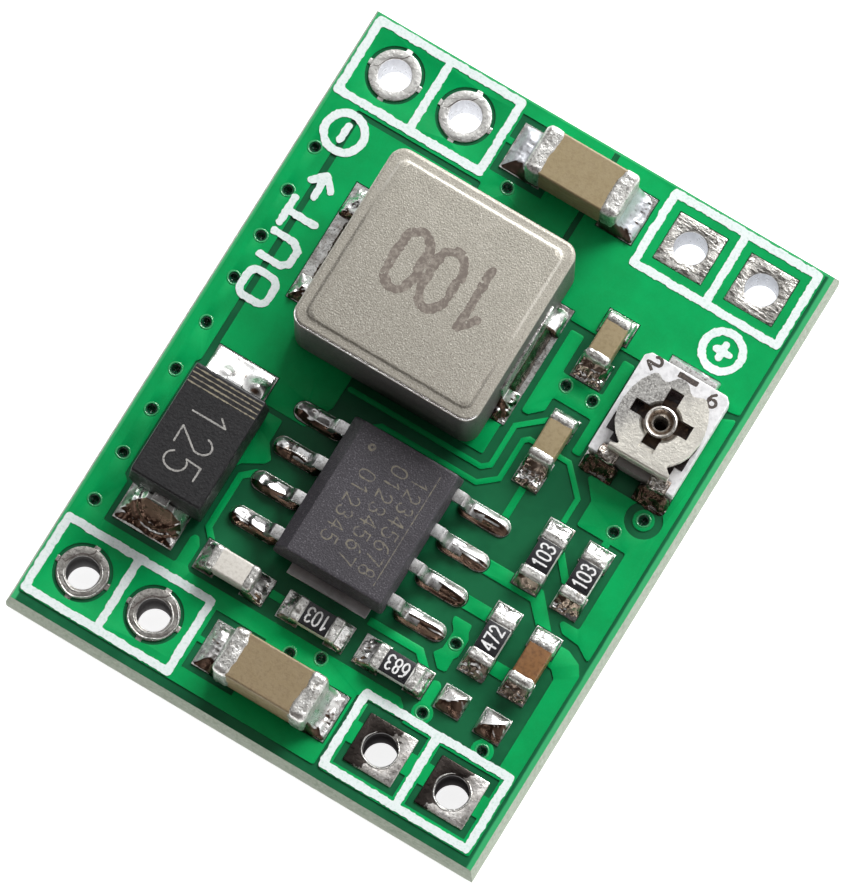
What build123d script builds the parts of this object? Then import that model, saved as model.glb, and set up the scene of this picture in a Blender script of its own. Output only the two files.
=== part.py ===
"""Buck converter module: a small green circuit board that carries a moulded
power inductor, a switching controller in an 8-lead case with a heat slug, a
freewheel diode, chip capacitors and resistors and one trimmer whose rotor
turns.

Frame, millimetres: X runs across the short side, Y along the long side (the
input end is at -Y, the output end at +Y), Z up, origin at the middle of the
board's underside, which is the lowest plane of the part.
"""
import os
from math import cos, radians, sin, hypot, atan2, degrees, pi, tan

from build123d import *

# ----------------------------------------------------------------- sizes, mm
BOARD_W = 16.66          # X, over the broken web of the scored edge
BOARD_L = 21.90          # Y
BOARD_T = 1.60           # underside copper to upper face of the laminate
EDGE_INSET = 0.125       # how far the score line sets the faces back
WEB_LOW = 0.50           # the broken web runs between these heights
WEB_HIGH = 1.10
FOIL_LOW = 0.04          # coated copper under the board, from z = 0
FOIL_TOP = 0.035         # coated copper relief over the board

PIN_HOLE_R = 0.53        # finished radius inside the plating
PIN_DRILL_R = 0.60       # radius drilled in the laminate
PIN_PITCH = 2.54
PIN_X_OUT = 6.59         # outer pin columns, each side of the hole pattern
PIN_Y = 9.19             # pin rows, each side of the hole pattern
PIN_OFF_X = -0.12        # the hole pattern sits off the board's middle
PIN_OFF_Y = 0.14
PAD_ROUND_R = 0.83
PAD_SQUARE = 1.70
PAD_TOP = 0.055          # tinned pad's height over the laminate
SPOKE_R = 0.94
SPOKE_W = 0.20

VIA_R = 0.20             # drilled radius
VIA_BORE_R = 0.14
VIA_DIMPLE = 0.11        # the coating sags this far into each via

SMD_T = 0.05             # surface pad thickness
SEAT_Z = BOARD_T + SMD_T

INDUCTOR_X, INDUCTOR_Y = -1.85, 3.67
INDUCTOR_W, INDUCTOR_L = 6.54, 6.50
INDUCTOR_TOP = 4.60
INDUCTOR_BOTTOM = 1.78
INDUCTOR_R = 0.50
PANEL_INSET = 0.39
PANEL_RISE = 0.05
PANEL_RUN = 0.11           # the raised panel's sloped border

IC_X, IC_Y = -0.09, -3.13
IC_W, IC_L = 3.90, 4.90
IC_BOTTOM, IC_MID, IC_TOP = 1.71, 2.40, 3.15
IC_PITCH = 1.27
IC_SPAN = 6.00
LEAD_W, LEAD_T = 0.41, 0.20

DIODE_X, DIODE_Y = -5.64, -3.95
DIODE_W, DIODE_L = 2.60, 4.06
DIODE_BOTTOM, DIODE_MID, DIODE_TOP = 1.72, 2.72, 3.72

CAP_L, CAP_W, CAP_H = 3.25, 1.60, 1.65      # the two large chip capacitors
CAP_END = 0.58
CHIP_L, CHIP_W = 1.60, 0.82                 # the small chips
CHIP_H_CAP, CHIP_H_RES = 0.80, 0.46
CHIP_END = 0.32

TRIM_X, TRIM_Y = 6.02, 3.975                # trimmer base
TRIM_W, TRIM_L = 3.00, 3.56
TRIM_BOTTOM, TRIM_FLOOR = 1.68, 2.30
ROTOR_X, ROTOR_Y = 6.09, 3.89
ROTOR_R = 1.38
ROTOR_LOW, ROTOR_TOP = 2.60, 2.85
ROTOR_BORE = 0.34
PIN_TUBE_R = 0.30
PIN_TUBE_BORE = 0.22

# ------------------------------------------------------------------ helpers


def box(x0, y0, z0, x1, y1, z1):
    return Pos((x0 + x1) / 2, (y0 + y1) / 2, (z0 + z1) / 2) * Box(
        abs(x1 - x0), abs(y1 - y0), abs(z1 - z0)
    )


def area(r):
    """A flat rectangle from (x0, y0, x1, y1)."""
    return Pos((r[0] + r[2]) / 2, (r[1] + r[3]) / 2) * Rectangle(
        abs(r[2] - r[0]), abs(r[3] - r[1])
    )


def grown(r, d):
    return (r[0] - d, r[1] - d, r[2] + d, r[3] + d)


def rounded(points, r, steps=3):
    """The corner points of a polygon with each corner eased by short chords."""
    out, n = [], len(points)
    for i in range(n):
        p0, p1, p2 = points[i - 1], points[i], points[(i + 1) % n]
        a = (p0[0] - p1[0], p0[1] - p1[1])
        b = (p2[0] - p1[0], p2[1] - p1[1])
        la, lb = hypot(*a), hypot(*b)
        a, b = (a[0] / la, a[1] / la), (b[0] / lb, b[1] / lb)
        dot = max(-1.0, min(1.0, a[0] * b[0] + a[1] * b[1]))
        if dot < -0.995:
            out.append(p1)
            continue
        half = tan((pi - angle_from_cosine(dot)) / 2)
        d = min(r * half, 0.45 * la, 0.45 * lb)
        s = (p1[0] + a[0] * d, p1[1] + a[1] * d)
        e = (p1[0] + b[0] * d, p1[1] + b[1] * d)
        for k in range(steps + 1):
            t = k / steps
            u = (1 - t) ** 2
            v = 2 * t * (1 - t)
            w = t * t
            out.append(
                (u * s[0] + v * p1[0] + w * e[0], u * s[1] + v * p1[1] + w * e[1])
            )
    return out


def angle_from_cosine(c):
    return atan2((1 - c * c) ** 0.5, c)


def face_of(points):
    pts = [Vector(x, y) for x, y in points]
    return Sketch() + make_face(Polyline(*pts, close=True))


def poly(points, r=0.09):
    return face_of(rounded(points, r))


def ribbon(points, w, caps=True):
    """A track of width w along straight runs, mitred at its corners."""
    left, right = [], []
    n = len(points)
    for i, p in enumerate(points):
        if i == 0:
            d = (points[1][0] - p[0], points[1][1] - p[1])
            k = 1.0
        elif i == n - 1:
            d = (p[0] - points[i - 1][0], p[1] - points[i - 1][1])
            k = 1.0
        else:
            d0 = (p[0] - points[i - 1][0], p[1] - points[i - 1][1])
            d1 = (points[i + 1][0] - p[0], points[i + 1][1] - p[1])
            l0, l1 = hypot(*d0), hypot(*d1)
            d0 = (d0[0] / l0, d0[1] / l0)
            d1 = (d1[0] / l1, d1[1] / l1)
            d = (d0[0] + d1[0], d0[1] + d1[1])
            k = 2 / max(0.5, hypot(*d) ** 2) * hypot(*d) / 1.0
        ln = hypot(*d)
        nx, ny = -d[1] / ln, d[0] / ln
        h = w / 2 * k
        left.append((p[0] + nx * h, p[1] + ny * h))
        right.append((p[0] - nx * h, p[1] - ny * h))
    s = face_of(left + right[::-1])
    if caps:
        for p in (points[0], points[-1]):
            s = s + Pos(*p) * Circle(w / 2)
    return s


def slab(sketch, z0, z1):
    return extrude(Pos(0, 0, z0) * sketch, z1 - z0)


def solids_of(shape):
    return list(shape.solids())


def eased(shape, r, edges=None):
    try:
        return fillet(shape.edges() if edges is None else edges, r)
    except Exception:
        return shape


NODES = {}


def keep(name, items):
    """Collect the separate solids of one node."""
    if not isinstance(items, (list, tuple)):
        items = [items]
    out = []
    for it in items:
        out += solids_of(it)
    NODES[name] = out


# -------------------------------------------------- where everything is, mm
HX = [PIN_OFF_X - PIN_X_OUT, PIN_OFF_X - PIN_X_OUT + PIN_PITCH,
      PIN_OFF_X + PIN_X_OUT - PIN_PITCH, PIN_OFF_X + PIN_X_OUT]
HY_OUT, HY_IN = PIN_OFF_Y + PIN_Y, PIN_OFF_Y - PIN_Y

VIAS = [
    (-7.63, 6.09), (-7.63, 4.49), (-7.59, 2.83), (-7.60, 1.26), (-7.60, -0.38),
    (-7.63, -2.13), (-7.60, -3.59), (-7.63, -5.20), (-7.60, -6.91),
    (-1.88, 8.05), (2.89, 3.62), (3.83, 3.61), (7.10, 1.22), (6.51, 0.43),
    (4.18, -5.05), (4.42, -7.42), (6.59, -7.49), (0.91, -7.57), (0.00, -7.93),
]

OUT_CAP = (0.02, 9.32)
IN_CAP = (0.03, -9.04)
IC_ROWS = [IC_Y + (1.5 - i) * IC_PITCH for i in range(4)]
IC_PAD_L = [(-3.86, y - 0.32, -2.05, y + 0.32) for y in IC_ROWS]
IC_PAD_R = [(2.00, y - 0.32, 3.79, y + 0.32) for y in IC_ROWS]
SLUG_PAD = (-1.40, -5.82, 1.42, -0.85)

# small chips: centre x, y, "x" or "y" along which they lie
CHIP_CAPS = [(3.33, 5.40, "y"), (3.46, 1.84, "y"), (6.53, -4.45, "y")]
CHIP_LIGHT = (-2.77, -6.66, "x")
CHIP_RES = [(5.11, -1.40, "y"), (6.50, -1.33, "y"), (5.10, -4.42, "y"),
            (3.08, -6.66, "x"), (0.23, -6.67, "x")]
CHIP_PADS = {
    (3.33, 5.40): [(2.80, 5.60, 3.84, 6.42), (2.80, 3.98, 3.86, 4.90)],
    (3.46, 1.84): [(2.98, 2.05, 3.88, 2.86), (2.98, 0.22, 3.88, 1.30)],
    (6.53, -4.45): [(6.02, -4.00, 6.94, -3.26), (6.02, -5.70, 6.94, -4.90)],
    (-2.77, -6.66): [(-3.96, -7.16, -3.25, -6.12), (-2.30, -7.16, -1.50, -6.20)],
    (5.11, -1.40): [(4.62, -0.95, 5.50, -0.14), (4.62, -2.54, 5.50, -1.85)],
    (6.50, -1.33): [(6.02, -0.90, 6.94, -0.15), (6.02, -2.60, 6.94, -1.78)],
    (5.10, -4.42): [(4.60, -4.00, 5.50, -3.20), (4.60, -5.70, 5.50, -4.88)],
    (3.08, -6.66): [(1.72, -7.16, 2.62, -6.15), (3.50, -7.12, 4.15, -6.15)],
    (0.23, -6.67): [(-1.00, -7.16, -0.25, -6.20), (0.70, -7.16, 1.35, -6.20)],
}
SPARE_PADS = [(4.58, -7.08, 5.48, -6.22), (6.00, -7.12, 6.92, -6.22)]
CAP_PADS = [(-2.46, 8.50, -1.05, 10.13), (1.05, 8.46, 2.30, 10.12),
            (-2.40, -9.75, -1.05, -8.14), (1.05, -9.77, 2.30, -8.16)]
DIODE_PADS = [(-6.87, -2.30, -4.77, -0.75), (-6.87, -7.07, -4.77, -5.60)]
COIL_PADS = [(-5.93, 1.60, -4.20, 5.80), (0.40, 1.57, 1.90, 5.76)]
TRIM_PADS = [(4.50, 1.66, 5.55, 2.62), (6.42, 1.66, 7.50, 2.62),
             (5.20, 5.40, 6.85, 6.14)]

# ------------------------------------------------------------ bare laminate
rim = [
    (BOARD_W / 2 - EDGE_INSET, BOARD_L / 2 - EDGE_INSET, FOIL_LOW),
    (BOARD_W / 2, BOARD_L / 2, WEB_LOW),
    (BOARD_W / 2, BOARD_L / 2, WEB_HIGH),
    (BOARD_W / 2 - EDGE_INSET, BOARD_L / 2 - EDGE_INSET, BOARD_T),
]


def rim_face(i):
    return Pos(0, 0, rim[i][2]) * Rectangle(2 * rim[i][0], 2 * rim[i][1])


board = (
    loft([rim_face(0).face(), rim_face(1).face()])
    + box(-rim[1][0], -rim[1][1], WEB_LOW, rim[1][0], rim[1][1], WEB_HIGH)
    + loft([rim_face(2).face(), rim_face(3).face()])
)
for hx in HX:
    for hy in (HY_OUT, HY_IN):
        board -= Pos(hx, hy, BOARD_T / 2) * Cylinder(PIN_DRILL_R, 4)
for vx, vy in VIAS:
    board -= Pos(vx, vy, BOARD_T / 2) * Cylinder(VIA_R, 4)
keep("circuit_board", board)

# ------------------------------------------------------- plated pin holes


def plated_hole(x, y, square):
    tube = Pos(x, y, BOARD_T / 2 + PAD_TOP / 2) * Cylinder(
        PIN_DRILL_R, BOARD_T + PAD_TOP
    )
    if square:
        h = PAD_SQUARE / 2
        top = box(x - h, y - h, BOARD_T, x + h, y + h, BOARD_T + PAD_TOP)
        low = box(x - h, y - h, 0, x + h, y + h, FOIL_LOW)
    else:
        top = Pos(x, y, BOARD_T + PAD_TOP / 2) * Cylinder(PAD_ROUND_R, PAD_TOP)
        low = Pos(x, y, FOIL_LOW / 2) * Cylinder(PAD_ROUND_R, FOIL_LOW)
        for z0, z1 in ((BOARD_T, BOARD_T + FOIL_TOP), (0, FOIL_LOW)):
            arm = box(x - SPOKE_R, y - SPOKE_W / 2, z0, x + SPOKE_R, y + SPOKE_W / 2, z1)
            arm += box(x - SPOKE_W / 2, y - SPOKE_R, z0, x + SPOKE_W / 2, y + SPOKE_R, z1)
            arm -= Pos(x, y, (z0 + z1) / 2) * Cylinder(PIN_DRILL_R + 0.1, 1)
            if z0 > 0:
                top += arm
            else:
                low += arm
    hole = Pos(x, y, BOARD_T / 2) * Cylinder(PIN_HOLE_R, 6)
    return tube + top + low - hole


keep("output_negative_pads", [plated_hole(x, HY_OUT, False) for x in HX[:2]])
keep("output_positive_pads", [plated_hole(x, HY_OUT, True) for x in HX[2:]])
keep("input_negative_pads", [plated_hole(x, HY_IN, False) for x in HX[:2]])
keep("input_positive_pads", [plated_hole(x, HY_IN, True) for x in HX[2:]])

# --------------------------------------------------------------------- vias
barrels, plugs = [], []
for vx, vy in VIAS:
    barrels.append(
        Pos(vx, vy, (FOIL_LOW + BOARD_T) / 2)
        * (Cylinder(VIA_R, BOARD_T - FOIL_LOW) - Cylinder(VIA_BORE_R, 3))
    )
    plugs.append(
        Pos(vx, vy, (FOIL_LOW + BOARD_T - VIA_DIMPLE) / 2)
        * Cylinder(VIA_BORE_R, BOARD_T - VIA_DIMPLE - FOIL_LOW)
    )
keep("via_barrels", barrels)
keep("via_plugs", plugs)

# --------------------------------------- coated copper over the board's top
negative = poly([
    (-8.12, 10.76), (0.38, 10.76), (0.38, 7.0), (-2.66, 7.0), (-2.66, 7.80),
    (-7.12, 7.80), (-7.12, -1.45), (-7.24, -1.60), (-7.24, -5.72), (-7.05, -5.90),
    (-7.05, -7.30), (-4.48, -7.30), (-4.48, -6.40), (-4.40, -6.25), (-4.25, -6.25),
    (-4.08, -6.50), (-4.08, -7.20), (-3.95, -7.34), (3.60, -7.34), (3.84, -7.55),
    (3.84, -7.93), (2.42, -7.93), (2.42, -10.50), (-8.12, -10.50),
])
switch = poly([
    (-6.90, 7.60), (-2.86, 7.60), (-2.86, -0.68), (-3.3, -1.64), (-6.90, -1.64),
])
output = poly([
    (0.58, 10.76), (7.93, 10.76), (7.93, 5.56), (7.60, 5.50), (4.30, 5.48),
    (1.92, 5.48), (1.92, 5.72), (1.92, 1.60), (1.80, 1.50), (1.80, 0.46),
    (0.58, 0.46),
])
feedback = poly([
    (2.12, 5.24), (2.58, 5.24), (2.58, 3.94), (4.00, 3.94), (4.00, 5.24),
    (4.40, 5.24), (4.40, 1.92), (4.10, 1.92), (4.10, 3.10), (2.74, 3.10),
    (2.74, 2.62), (2.34, 2.24), (2.12, 2.24),
])
right_side = poly([
    (7.50, 5.20), (7.93, 5.40), (7.93, -3.50), (7.40, -3.16), (6.80, -3.10),
    (6.55, -2.86), (6.62, -2.74), (7.17, -2.74), (7.17, 0.04), (5.42, 0.04),
    (5.42, 0.92), (4.94, 1.50), (5.02, 1.60), (7.50, 1.60),
])
supply = poly([
    (6.90, -3.45), (7.25, -3.45), (7.72, -3.66), (7.93, -3.98), (7.93, -10.50),
    (2.60, -10.50), (2.60, -8.05), (4.05, -8.05), (4.05, -7.78), (7.30, -7.78),
    (7.30, -4.45), (7.08, -4.22), (6.90, -4.20),
])
under_diode = poly([
    (-4.55, -1.82), (-3.97, -1.82), (-3.95, -2.62), (-3.62, -3.08), (-3.74, -3.26),
    (-4.36, -3.62), (-4.56, -3.90), (-6.6, -3.90), (-6.6, -2.40), (-4.55, -2.40),
])
sense = poly([
    (3.68, -4.30), (4.32, -4.30), (4.34, -4.55), (4.46, -4.75), (4.46, -5.36),
    (4.36, -5.50), (4.38, -5.96), (4.10, -6.00), (3.72, -5.62), (3.90, -5.36),
    (3.92, -4.74), (3.74, -4.52),
])
wide = poly([
    (3.70, -2.24), (5.62, -2.24), (6.50, -3.24), (6.30, -3.40), (5.98, -3.30),
    (5.44, -2.74), (3.70, -2.74),
], 0.04)
top_foil = negative + switch + output + feedback + right_side + supply
top_foil = top_foil + under_diode + sense + wide
top_foil += ribbon([(3.05, 2.47), (2.20, 1.74), (2.20, 0.30), (1.97, 0.10),
                    (-2.70, 0.10)], 0.17)
top_foil += ribbon([(-1.50, -0.56), (-1.28, -0.40), (2.10, -0.40), (2.65, 0.06),
                    (2.65, 1.46), (2.80, 1.60), (4.22, 1.60), (5.03, 0.76),
                    (5.03, -0.20)], 0.17)
top_foil += ribbon([(3.42, 0.30), (3.42, -1.00)], 0.23)
top_foil += ribbon([(5.42, -0.92), (6.10, -1.72)], 0.24)
top_foil += ribbon([(3.70, -3.76), (4.65, -3.76)], 0.46)
top_foil += ribbon([(1.60, -5.80), (3.36, -5.80), (3.86, -6.28)], 0.26)
top_foil += ribbon([(4.33, -6.50), (4.33, -7.20)], 0.36)
top_foil += ribbon([(-3.80, -3.62), (-4.17, -3.96), (-4.17, -5.82),
                    (-3.86, -6.16)], 0.21)
top_foil += ribbon([(-1.60, -6.62), (-0.95, -6.62)], 0.26)
top_foil += ribbon([(5.50, -5.08), (6.02, -5.08)], 0.46)
top_foil += Pos(4.42, -7.42) * Circle(0.34)
top_foil += Pos(6.59, -7.49) * Circle(0.36)
top_foil += ribbon([(6.56, -7.40), (6.50, -7.05)], 0.30)
top_foil += ribbon([(6.51, 0.43), (6.50, -0.20)], 0.24)

clear = []
for x in HX[:2]:
    for y in (HY_OUT, HY_IN):
        clear.append(Pos(x, y) * Circle(SPOKE_R))
for x in HX[2:]:
    clear.append(area((x - 0.87, HY_OUT - 0.87, x + 0.87, HY_OUT + 0.87)))
    # the input pads keep a wide gap, bridged across by one flat strip
    ring = area((x - 1.06, HY_IN - 1.06, x + 1.06, HY_IN + 1.06))
    ring -= area((x - 1.2, HY_IN - 0.30, x + 1.2, HY_IN + 0.42))
    clear.append(ring)
    clear.append(area((x - 0.86, HY_IN - 0.86, x + 0.86, HY_IN + 0.86)))
for r in IC_PAD_L + IC_PAD_R:
    g = grown(r, 0.035)
    h = (g[3] - g[1]) / 2
    clear.append(
        Pos((g[0] + g[2]) / 2, (g[1] + g[3]) / 2)
        * SlotOverall(g[2] - g[0], 2 * h)
    )
for pads in list(CHIP_PADS.values()) + [SPARE_PADS, DIODE_PADS, COIL_PADS, TRIM_PADS]:
    for r in pads:
        clear.append(area(grown(r, 0.035)))
# the output capacitor's negative end and the input capacitor's stand in rings
for i, r in enumerate(CAP_PADS):
    clear.append(area(grown(r, 0.22 if i in (0, 2) else 0.04)))
clear.append(area(grown(SLUG_PAD, 0.12)))
# gaps round the diode's lower pad and around two of the small chips
clear.append(area((-7.05, -7.28, -4.60, -5.62)))
clear.append(Pos(7.10, 1.22) * (Circle(0.60) - Circle(0.34)))
for vx, vy in VIAS:
    clear.append(Pos(vx, vy) * Circle(VIA_R))
for c in clear:
    top_foil -= c
# a neck of foil reaches each ringed capacitor pad
for x0, x1, y in ((-2.70, -2.49, 9.40), (-2.66, -2.43, -8.95)):
    top_foil += area((x0, y - 0.10, x1, y + 0.10))
keep("copper_top", [slab(f, BOARD_T, BOARD_T + FOIL_TOP) for f in top_foil.faces()])

# ------------------------------------------------ coated copper underneath
low_foil = area((-BOARD_W / 2 + 0.33, -BOARD_L / 2 + 0.33,
                 BOARD_W / 2 - 0.33, BOARD_L / 2 - 0.33))
for x in HX[:2]:
    for y in (HY_OUT, HY_IN):
        low_foil -= Pos(x, y) * Circle(SPOKE_R)
for x in HX[2:]:
    for y in (HY_OUT, HY_IN):
        low_foil -= area((x - 1.15, y - 1.15, x + 1.15, y + 1.15))
keep("copper_bottom", [slab(f, 0, FOIL_LOW) for f in low_foil.faces()])

# ------------------------------------------------------- white board legend
INK_Z0, INK_Z1 = BOARD_T + FOIL_TOP, BOARD_T + FOIL_TOP + 0.018
INK_W = 0.265


def frame_ink(cx, cy):
    hw, hh = 2.685, 1.415
    out = face_of(rounded([(cx - hw, cy - hh), (cx + hw, cy - hh),
                           (cx + hw, cy + hh), (cx - hw, cy + hh)], 0.13))
    for s in (-1, 1):
        x0 = cx + s * (INK_W / 2)
        x1 = cx + s * (hw - INK_W)
        out -= area((min(x0, x1), cy - hh + INK_W, max(x0, x1), cy + hh - INK_W))
    return out


mid_l = (HX[0] + HX[1]) / 2
mid_r = (HX[2] + HX[3]) / 2
inks = [frame_ink(mx, my) for mx in (mid_l, mid_r) for my in (HY_OUT, HY_IN)]
MINUS, PLUS = (-7.09, 6.95), (6.44, 7.03)
inks.append(Pos(*MINUS) * (Circle(0.77) - Circle(0.505)))
inks.append(ribbon([(MINUS[0], MINUS[1] - 0.26), (MINUS[0], MINUS[1] + 0.26)], 0.27))
inks.append(Pos(*PLUS) * (Circle(0.765) - Circle(0.50)))
inks.append(
    ribbon([(PLUS[0] - 0.24, PLUS[1]), (PLUS[0] + 0.24, PLUS[1])], 0.25)
    + ribbon([(PLUS[0], PLUS[1] - 0.24), (PLUS[0], PLUS[1] + 0.24)], 0.25)
)
# the word OUT and an arrow towards the output end, read from the left side
LX0, LX1 = -7.32, -6.34        # stroke centre lines of the letters' top and foot


def letter(points, w=0.24):
    """Points as (along, up) in letter space: along runs to +Y, up to -X."""
    return ribbon([(LX1 + (LX0 - LX1) * v, u) for u, v in points], w)


inks.append(
    (Pos((LX0 + LX1) / 2, 1.40) * (
        RectangleRounded(abs(LX0 - LX1) + 0.24, 1.16, 0.40)
        - RectangleRounded(abs(LX0 - LX1) - 0.24, 0.68, 0.18)))
)
inks.append(letter([(2.32, 1.0), (2.32, 0.25), (2.52, 0.02), (2.98, 0.02),
                    (3.18, 0.25), (3.18, 1.0)]))
inks.append(letter([(3.50, 1.0), (4.40, 1.0)]) + letter([(3.95, 0.95), (3.95, 0.0)]))
inks.append(letter([(4.72, 0.5), (5.45, 0.5)]) + letter([(5.14, 0.86), (5.50, 0.5),
                                                         (5.14, 0.14)]))
keep("board_legend", [slab(f, INK_Z0, INK_Z1) for s in inks for f in s.faces()])

# ------------------------------------------------------- bare tinned pads
smd = []
for r in IC_PAD_L + IC_PAD_R:
    smd.append(slab(
        Pos((r[0] + r[2]) / 2, (r[1] + r[3]) / 2)
        * SlotOverall(r[2] - r[0], r[3] - r[1]), BOARD_T, SEAT_Z))
for pads in list(CHIP_PADS.values()) + [SPARE_PADS, CAP_PADS, DIODE_PADS,
                                        COIL_PADS, TRIM_PADS]:
    for r in pads:
        smd.append(slab(area(r), BOARD_T, SEAT_Z))
keep("surface_pads", smd)
keep("heat_pad", slab(area(SLUG_PAD), BOARD_T, SEAT_Z))

# ----------------------------------------------------------- power inductor
ix, iy = INDUCTOR_X, INDUCTOR_Y
shell = Pos(ix, iy, INDUCTOR_BOTTOM) * extrude(
    RectangleRounded(INDUCTOR_W, INDUCTOR_L, INDUCTOR_R),
    INDUCTOR_TOP - PANEL_RISE - INDUCTOR_BOTTOM)
top_edges = shell.faces().sort_by(Axis.Z)[-1].edges()
shell = eased(shell, 0.14, top_edges)
pw, pl = INDUCTOR_W - 2 * PANEL_INSET, INDUCTOR_L - 2 * PANEL_INSET
panel = loft([
    (Pos(ix, iy, INDUCTOR_TOP - PANEL_RISE) * RectangleRounded(pw, pl, 0.30)).face(),
    (Pos(ix, iy, INDUCTOR_TOP) * RectangleRounded(
        pw - 2 * PANEL_RUN, pl - 2 * PANEL_RUN, 0.30 - PANEL_RUN)).face(),
])
shell = shell + panel
# the winding: a flat-wire ring with a tail out to each clip
coil = Pos(ix, iy, 3.05) * (Cylinder(2.35, 1.7) - Cylinder(1.15, 3))
tail_l = box(ix - 3.05, iy - 1.2, 2.85, ix - 1.8, iy - 0.2, 3.05)
tail_r = box(ix + 1.8, iy + 0.2, 2.85, ix + 3.05, iy + 1.2, 3.05)
coil = coil + tail_l + tail_r
shell = shell - coil
# the clips run under the body, up each end in a shallow pocket
CLIP_T, CLIP_W, CLIP_TOP = 0.13, 3.05, 3.30
clips = []
for s in (-1, 1):
    end = ix + s * INDUCTOR_W / 2
    up = box(end - s * 0.05, iy - CLIP_W / 2, SEAT_Z, end + s * (CLIP_T - 0.05),
             iy + CLIP_W / 2, CLIP_TOP)
    foot = box(end + s * (CLIP_T - 0.05), iy - CLIP_W / 2, SEAT_Z,
               end - s * 1.50, iy + CLIP_W / 2, INDUCTOR_BOTTOM)
    link = box(end - s * 0.30, iy + s * 0.2 - (1.0 if s < 0 else 0), 2.85,
               end - s * 0.05, iy + s * 0.2 + (0 if s < 0 else 1.0), 3.05)
    link = box(min(end - s * 0.30, end), iy + (0.2 if s > 0 else -1.2), 2.85,
               max(end - s * 0.30, end), iy + (1.2 if s > 0 else -0.2), 3.05)
    link = link - coil
    clips.append(up + foot + link)
for c in clips:
    shell = shell - c
keep("inductor_body", shell)
keep("inductor_coil", coil)
keep("inductor_clips", clips)


def wedge_x(x_in, x_out, y0, y1, z_in, z0=SEAT_Z, z_lip=0.03):
    """A solder fillet that falls from z_in at x_in to a lip at x_out."""
    xm = x_in + (x_out - x_in) * 0.45
    pts = [(x_in, z0), (x_out, z0), (x_out, z0 + z_lip),
           (xm, z0 + z_lip + (z_in - z0) * 0.30), (x_in, z_in)]
    f = make_face(Polyline(*[Vector(x, y0, z) for x, z in pts], close=True))
    return extrude(f, amount=abs(y1 - y0), dir=(0, 1, 0))


def wedge_y(y_in, y_out, x0, x1, z_in, z0=SEAT_Z, z_lip=0.03):
    ym = y_in + (y_out - y_in) * 0.45
    pts = [(y_in, z0), (y_out, z0), (y_out, z0 + z_lip),
           (ym, z0 + z_lip + (z_in - z0) * 0.30), (y_in, z_in)]
    f = make_face(Polyline(*[Vector(x0, y, z) for y, z in pts], close=True))
    return extrude(f, amount=abs(x1 - x0), dir=(1, 0, 0))


endl, endr = ix - INDUCTOR_W / 2 - CLIP_T + 0.05, ix + INDUCTOR_W / 2 + CLIP_T - 0.05
keep("inductor_solder", [
    wedge_x(endl, COIL_PADS[0][0] + 0.02, iy - 1.5, iy + 1.5, 2.55),
    wedge_x(endr, COIL_PADS[1][2] - 0.02, iy - 1.5, iy + 1.5, 2.55),
])

# --------------------------------------------------- controller, 8 leads


def case(x, y, w, l, z_low, z_mid, z_top, inset_low, inset_top):
    """A moulded case drafted both ways from its parting line."""
    mid = (Pos(x, y, z_mid) * Rectangle(w, l)).face()
    top = (Pos(x, y, z_top) * Rectangle(w - 2 * inset_top, l - 2 * inset_top)).face()
    low = (Pos(x, y, z_low) * Rectangle(w - 2 * inset_low, l - 2 * inset_low)).face()
    return loft([mid, top]) + loft([low, mid])


ic = case(IC_X, IC_Y, IC_W, IC_L, IC_BOTTOM, IC_MID, IC_TOP, 0.10, 0.12)
# the long bevel beside the first row of leads
bx = IC_X - IC_W / 2
bev = make_face(Polyline(Vector(bx - 0.3, IC_Y - 3, IC_TOP + 0.1),
                         Vector(bx + 0.50, IC_Y - 3, IC_TOP + 0.1),
                         Vector(bx + 0.44, IC_Y - 3, IC_TOP),
                         Vector(bx + 0.04, IC_Y - 3, IC_TOP - 0.42),
                         Vector(bx - 0.3, IC_Y - 3, IC_TOP - 0.42), close=True))
ic -= extrude(bev, amount=6, dir=(0, 1, 0))
slug = box(IC_X - 1.15, IC_Y - 1.65, SEAT_Z, IC_X + 1.15, IC_Y + 1.65, 1.92)
die = box(IC_X - 0.85, IC_Y - 1.1, 1.92, IC_X + 0.85, IC_Y + 1.1, 2.17)


def gull(side, y):
    """One lead: out of the case, over the bend and down to its foot."""
    s = side
    x0 = IC_X + s * (IC_W / 2 - 0.45)       # inner end, inside the case
    x1 = IC_X + s * (IC_W / 2 + 0.30)
    x2 = IC_X + s * (IC_W / 2 + 0.52)
    x3 = IC_X + s * IC_SPAN / 2
    zt, zf = IC_MID + LEAD_T / 2, SEAT_Z + 0.03
    pts = [(x0, zt), (x1, zt), (x1 + s * 0.12, zt - 0.10), (x2 + s * 0.05, zf + LEAD_T + 0.06),
           (x2 + s * 0.14, zf + LEAD_T), (x3, zf + LEAD_T), (x3, zf),
           (x2 + s * 0.02, zf), (x2 - s * 0.10, zf + 0.08), (x1 - s * 0.05, zt - LEAD_T - 0.03),
           (x1 - s * 0.10, zt - LEAD_T), (x0, zt - LEAD_T)]
    f = make_face(Polyline(*[Vector(x, y - LEAD_W / 2, z) for x, z in pts], close=True))
    return extrude(f, amount=LEAD_W, dir=(0, 1, 0))


leads = [gull(s, y) for s in (-1, 1) for y in IC_ROWS]
for piece in leads + [slug, die]:
    ic = ic - piece
keep("controller_body", ic)
keep("controller_leads", leads)
keep("controller_slug", slug)
keep("controller_die", die)
ic_solder = []
for s, pads in ((-1, IC_PAD_L), (1, IC_PAD_R)):
    for r, y in zip(pads, IC_ROWS):
        toe = IC_X + s * IC_SPAN / 2
        tip = (r[0] + 0.12) if s < 0 else (r[2] - 0.12)
        under = box(min(toe, toe - s * 0.72), y - 0.24, SEAT_Z,
                    max(toe, toe - s * 0.72), y + 0.24, SEAT_Z + 0.03)
        ic_solder.append(under + wedge_x(toe, tip, y - 0.24, y + 0.24, SEAT_Z + 0.22))
keep("controller_solder", ic_solder)

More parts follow.
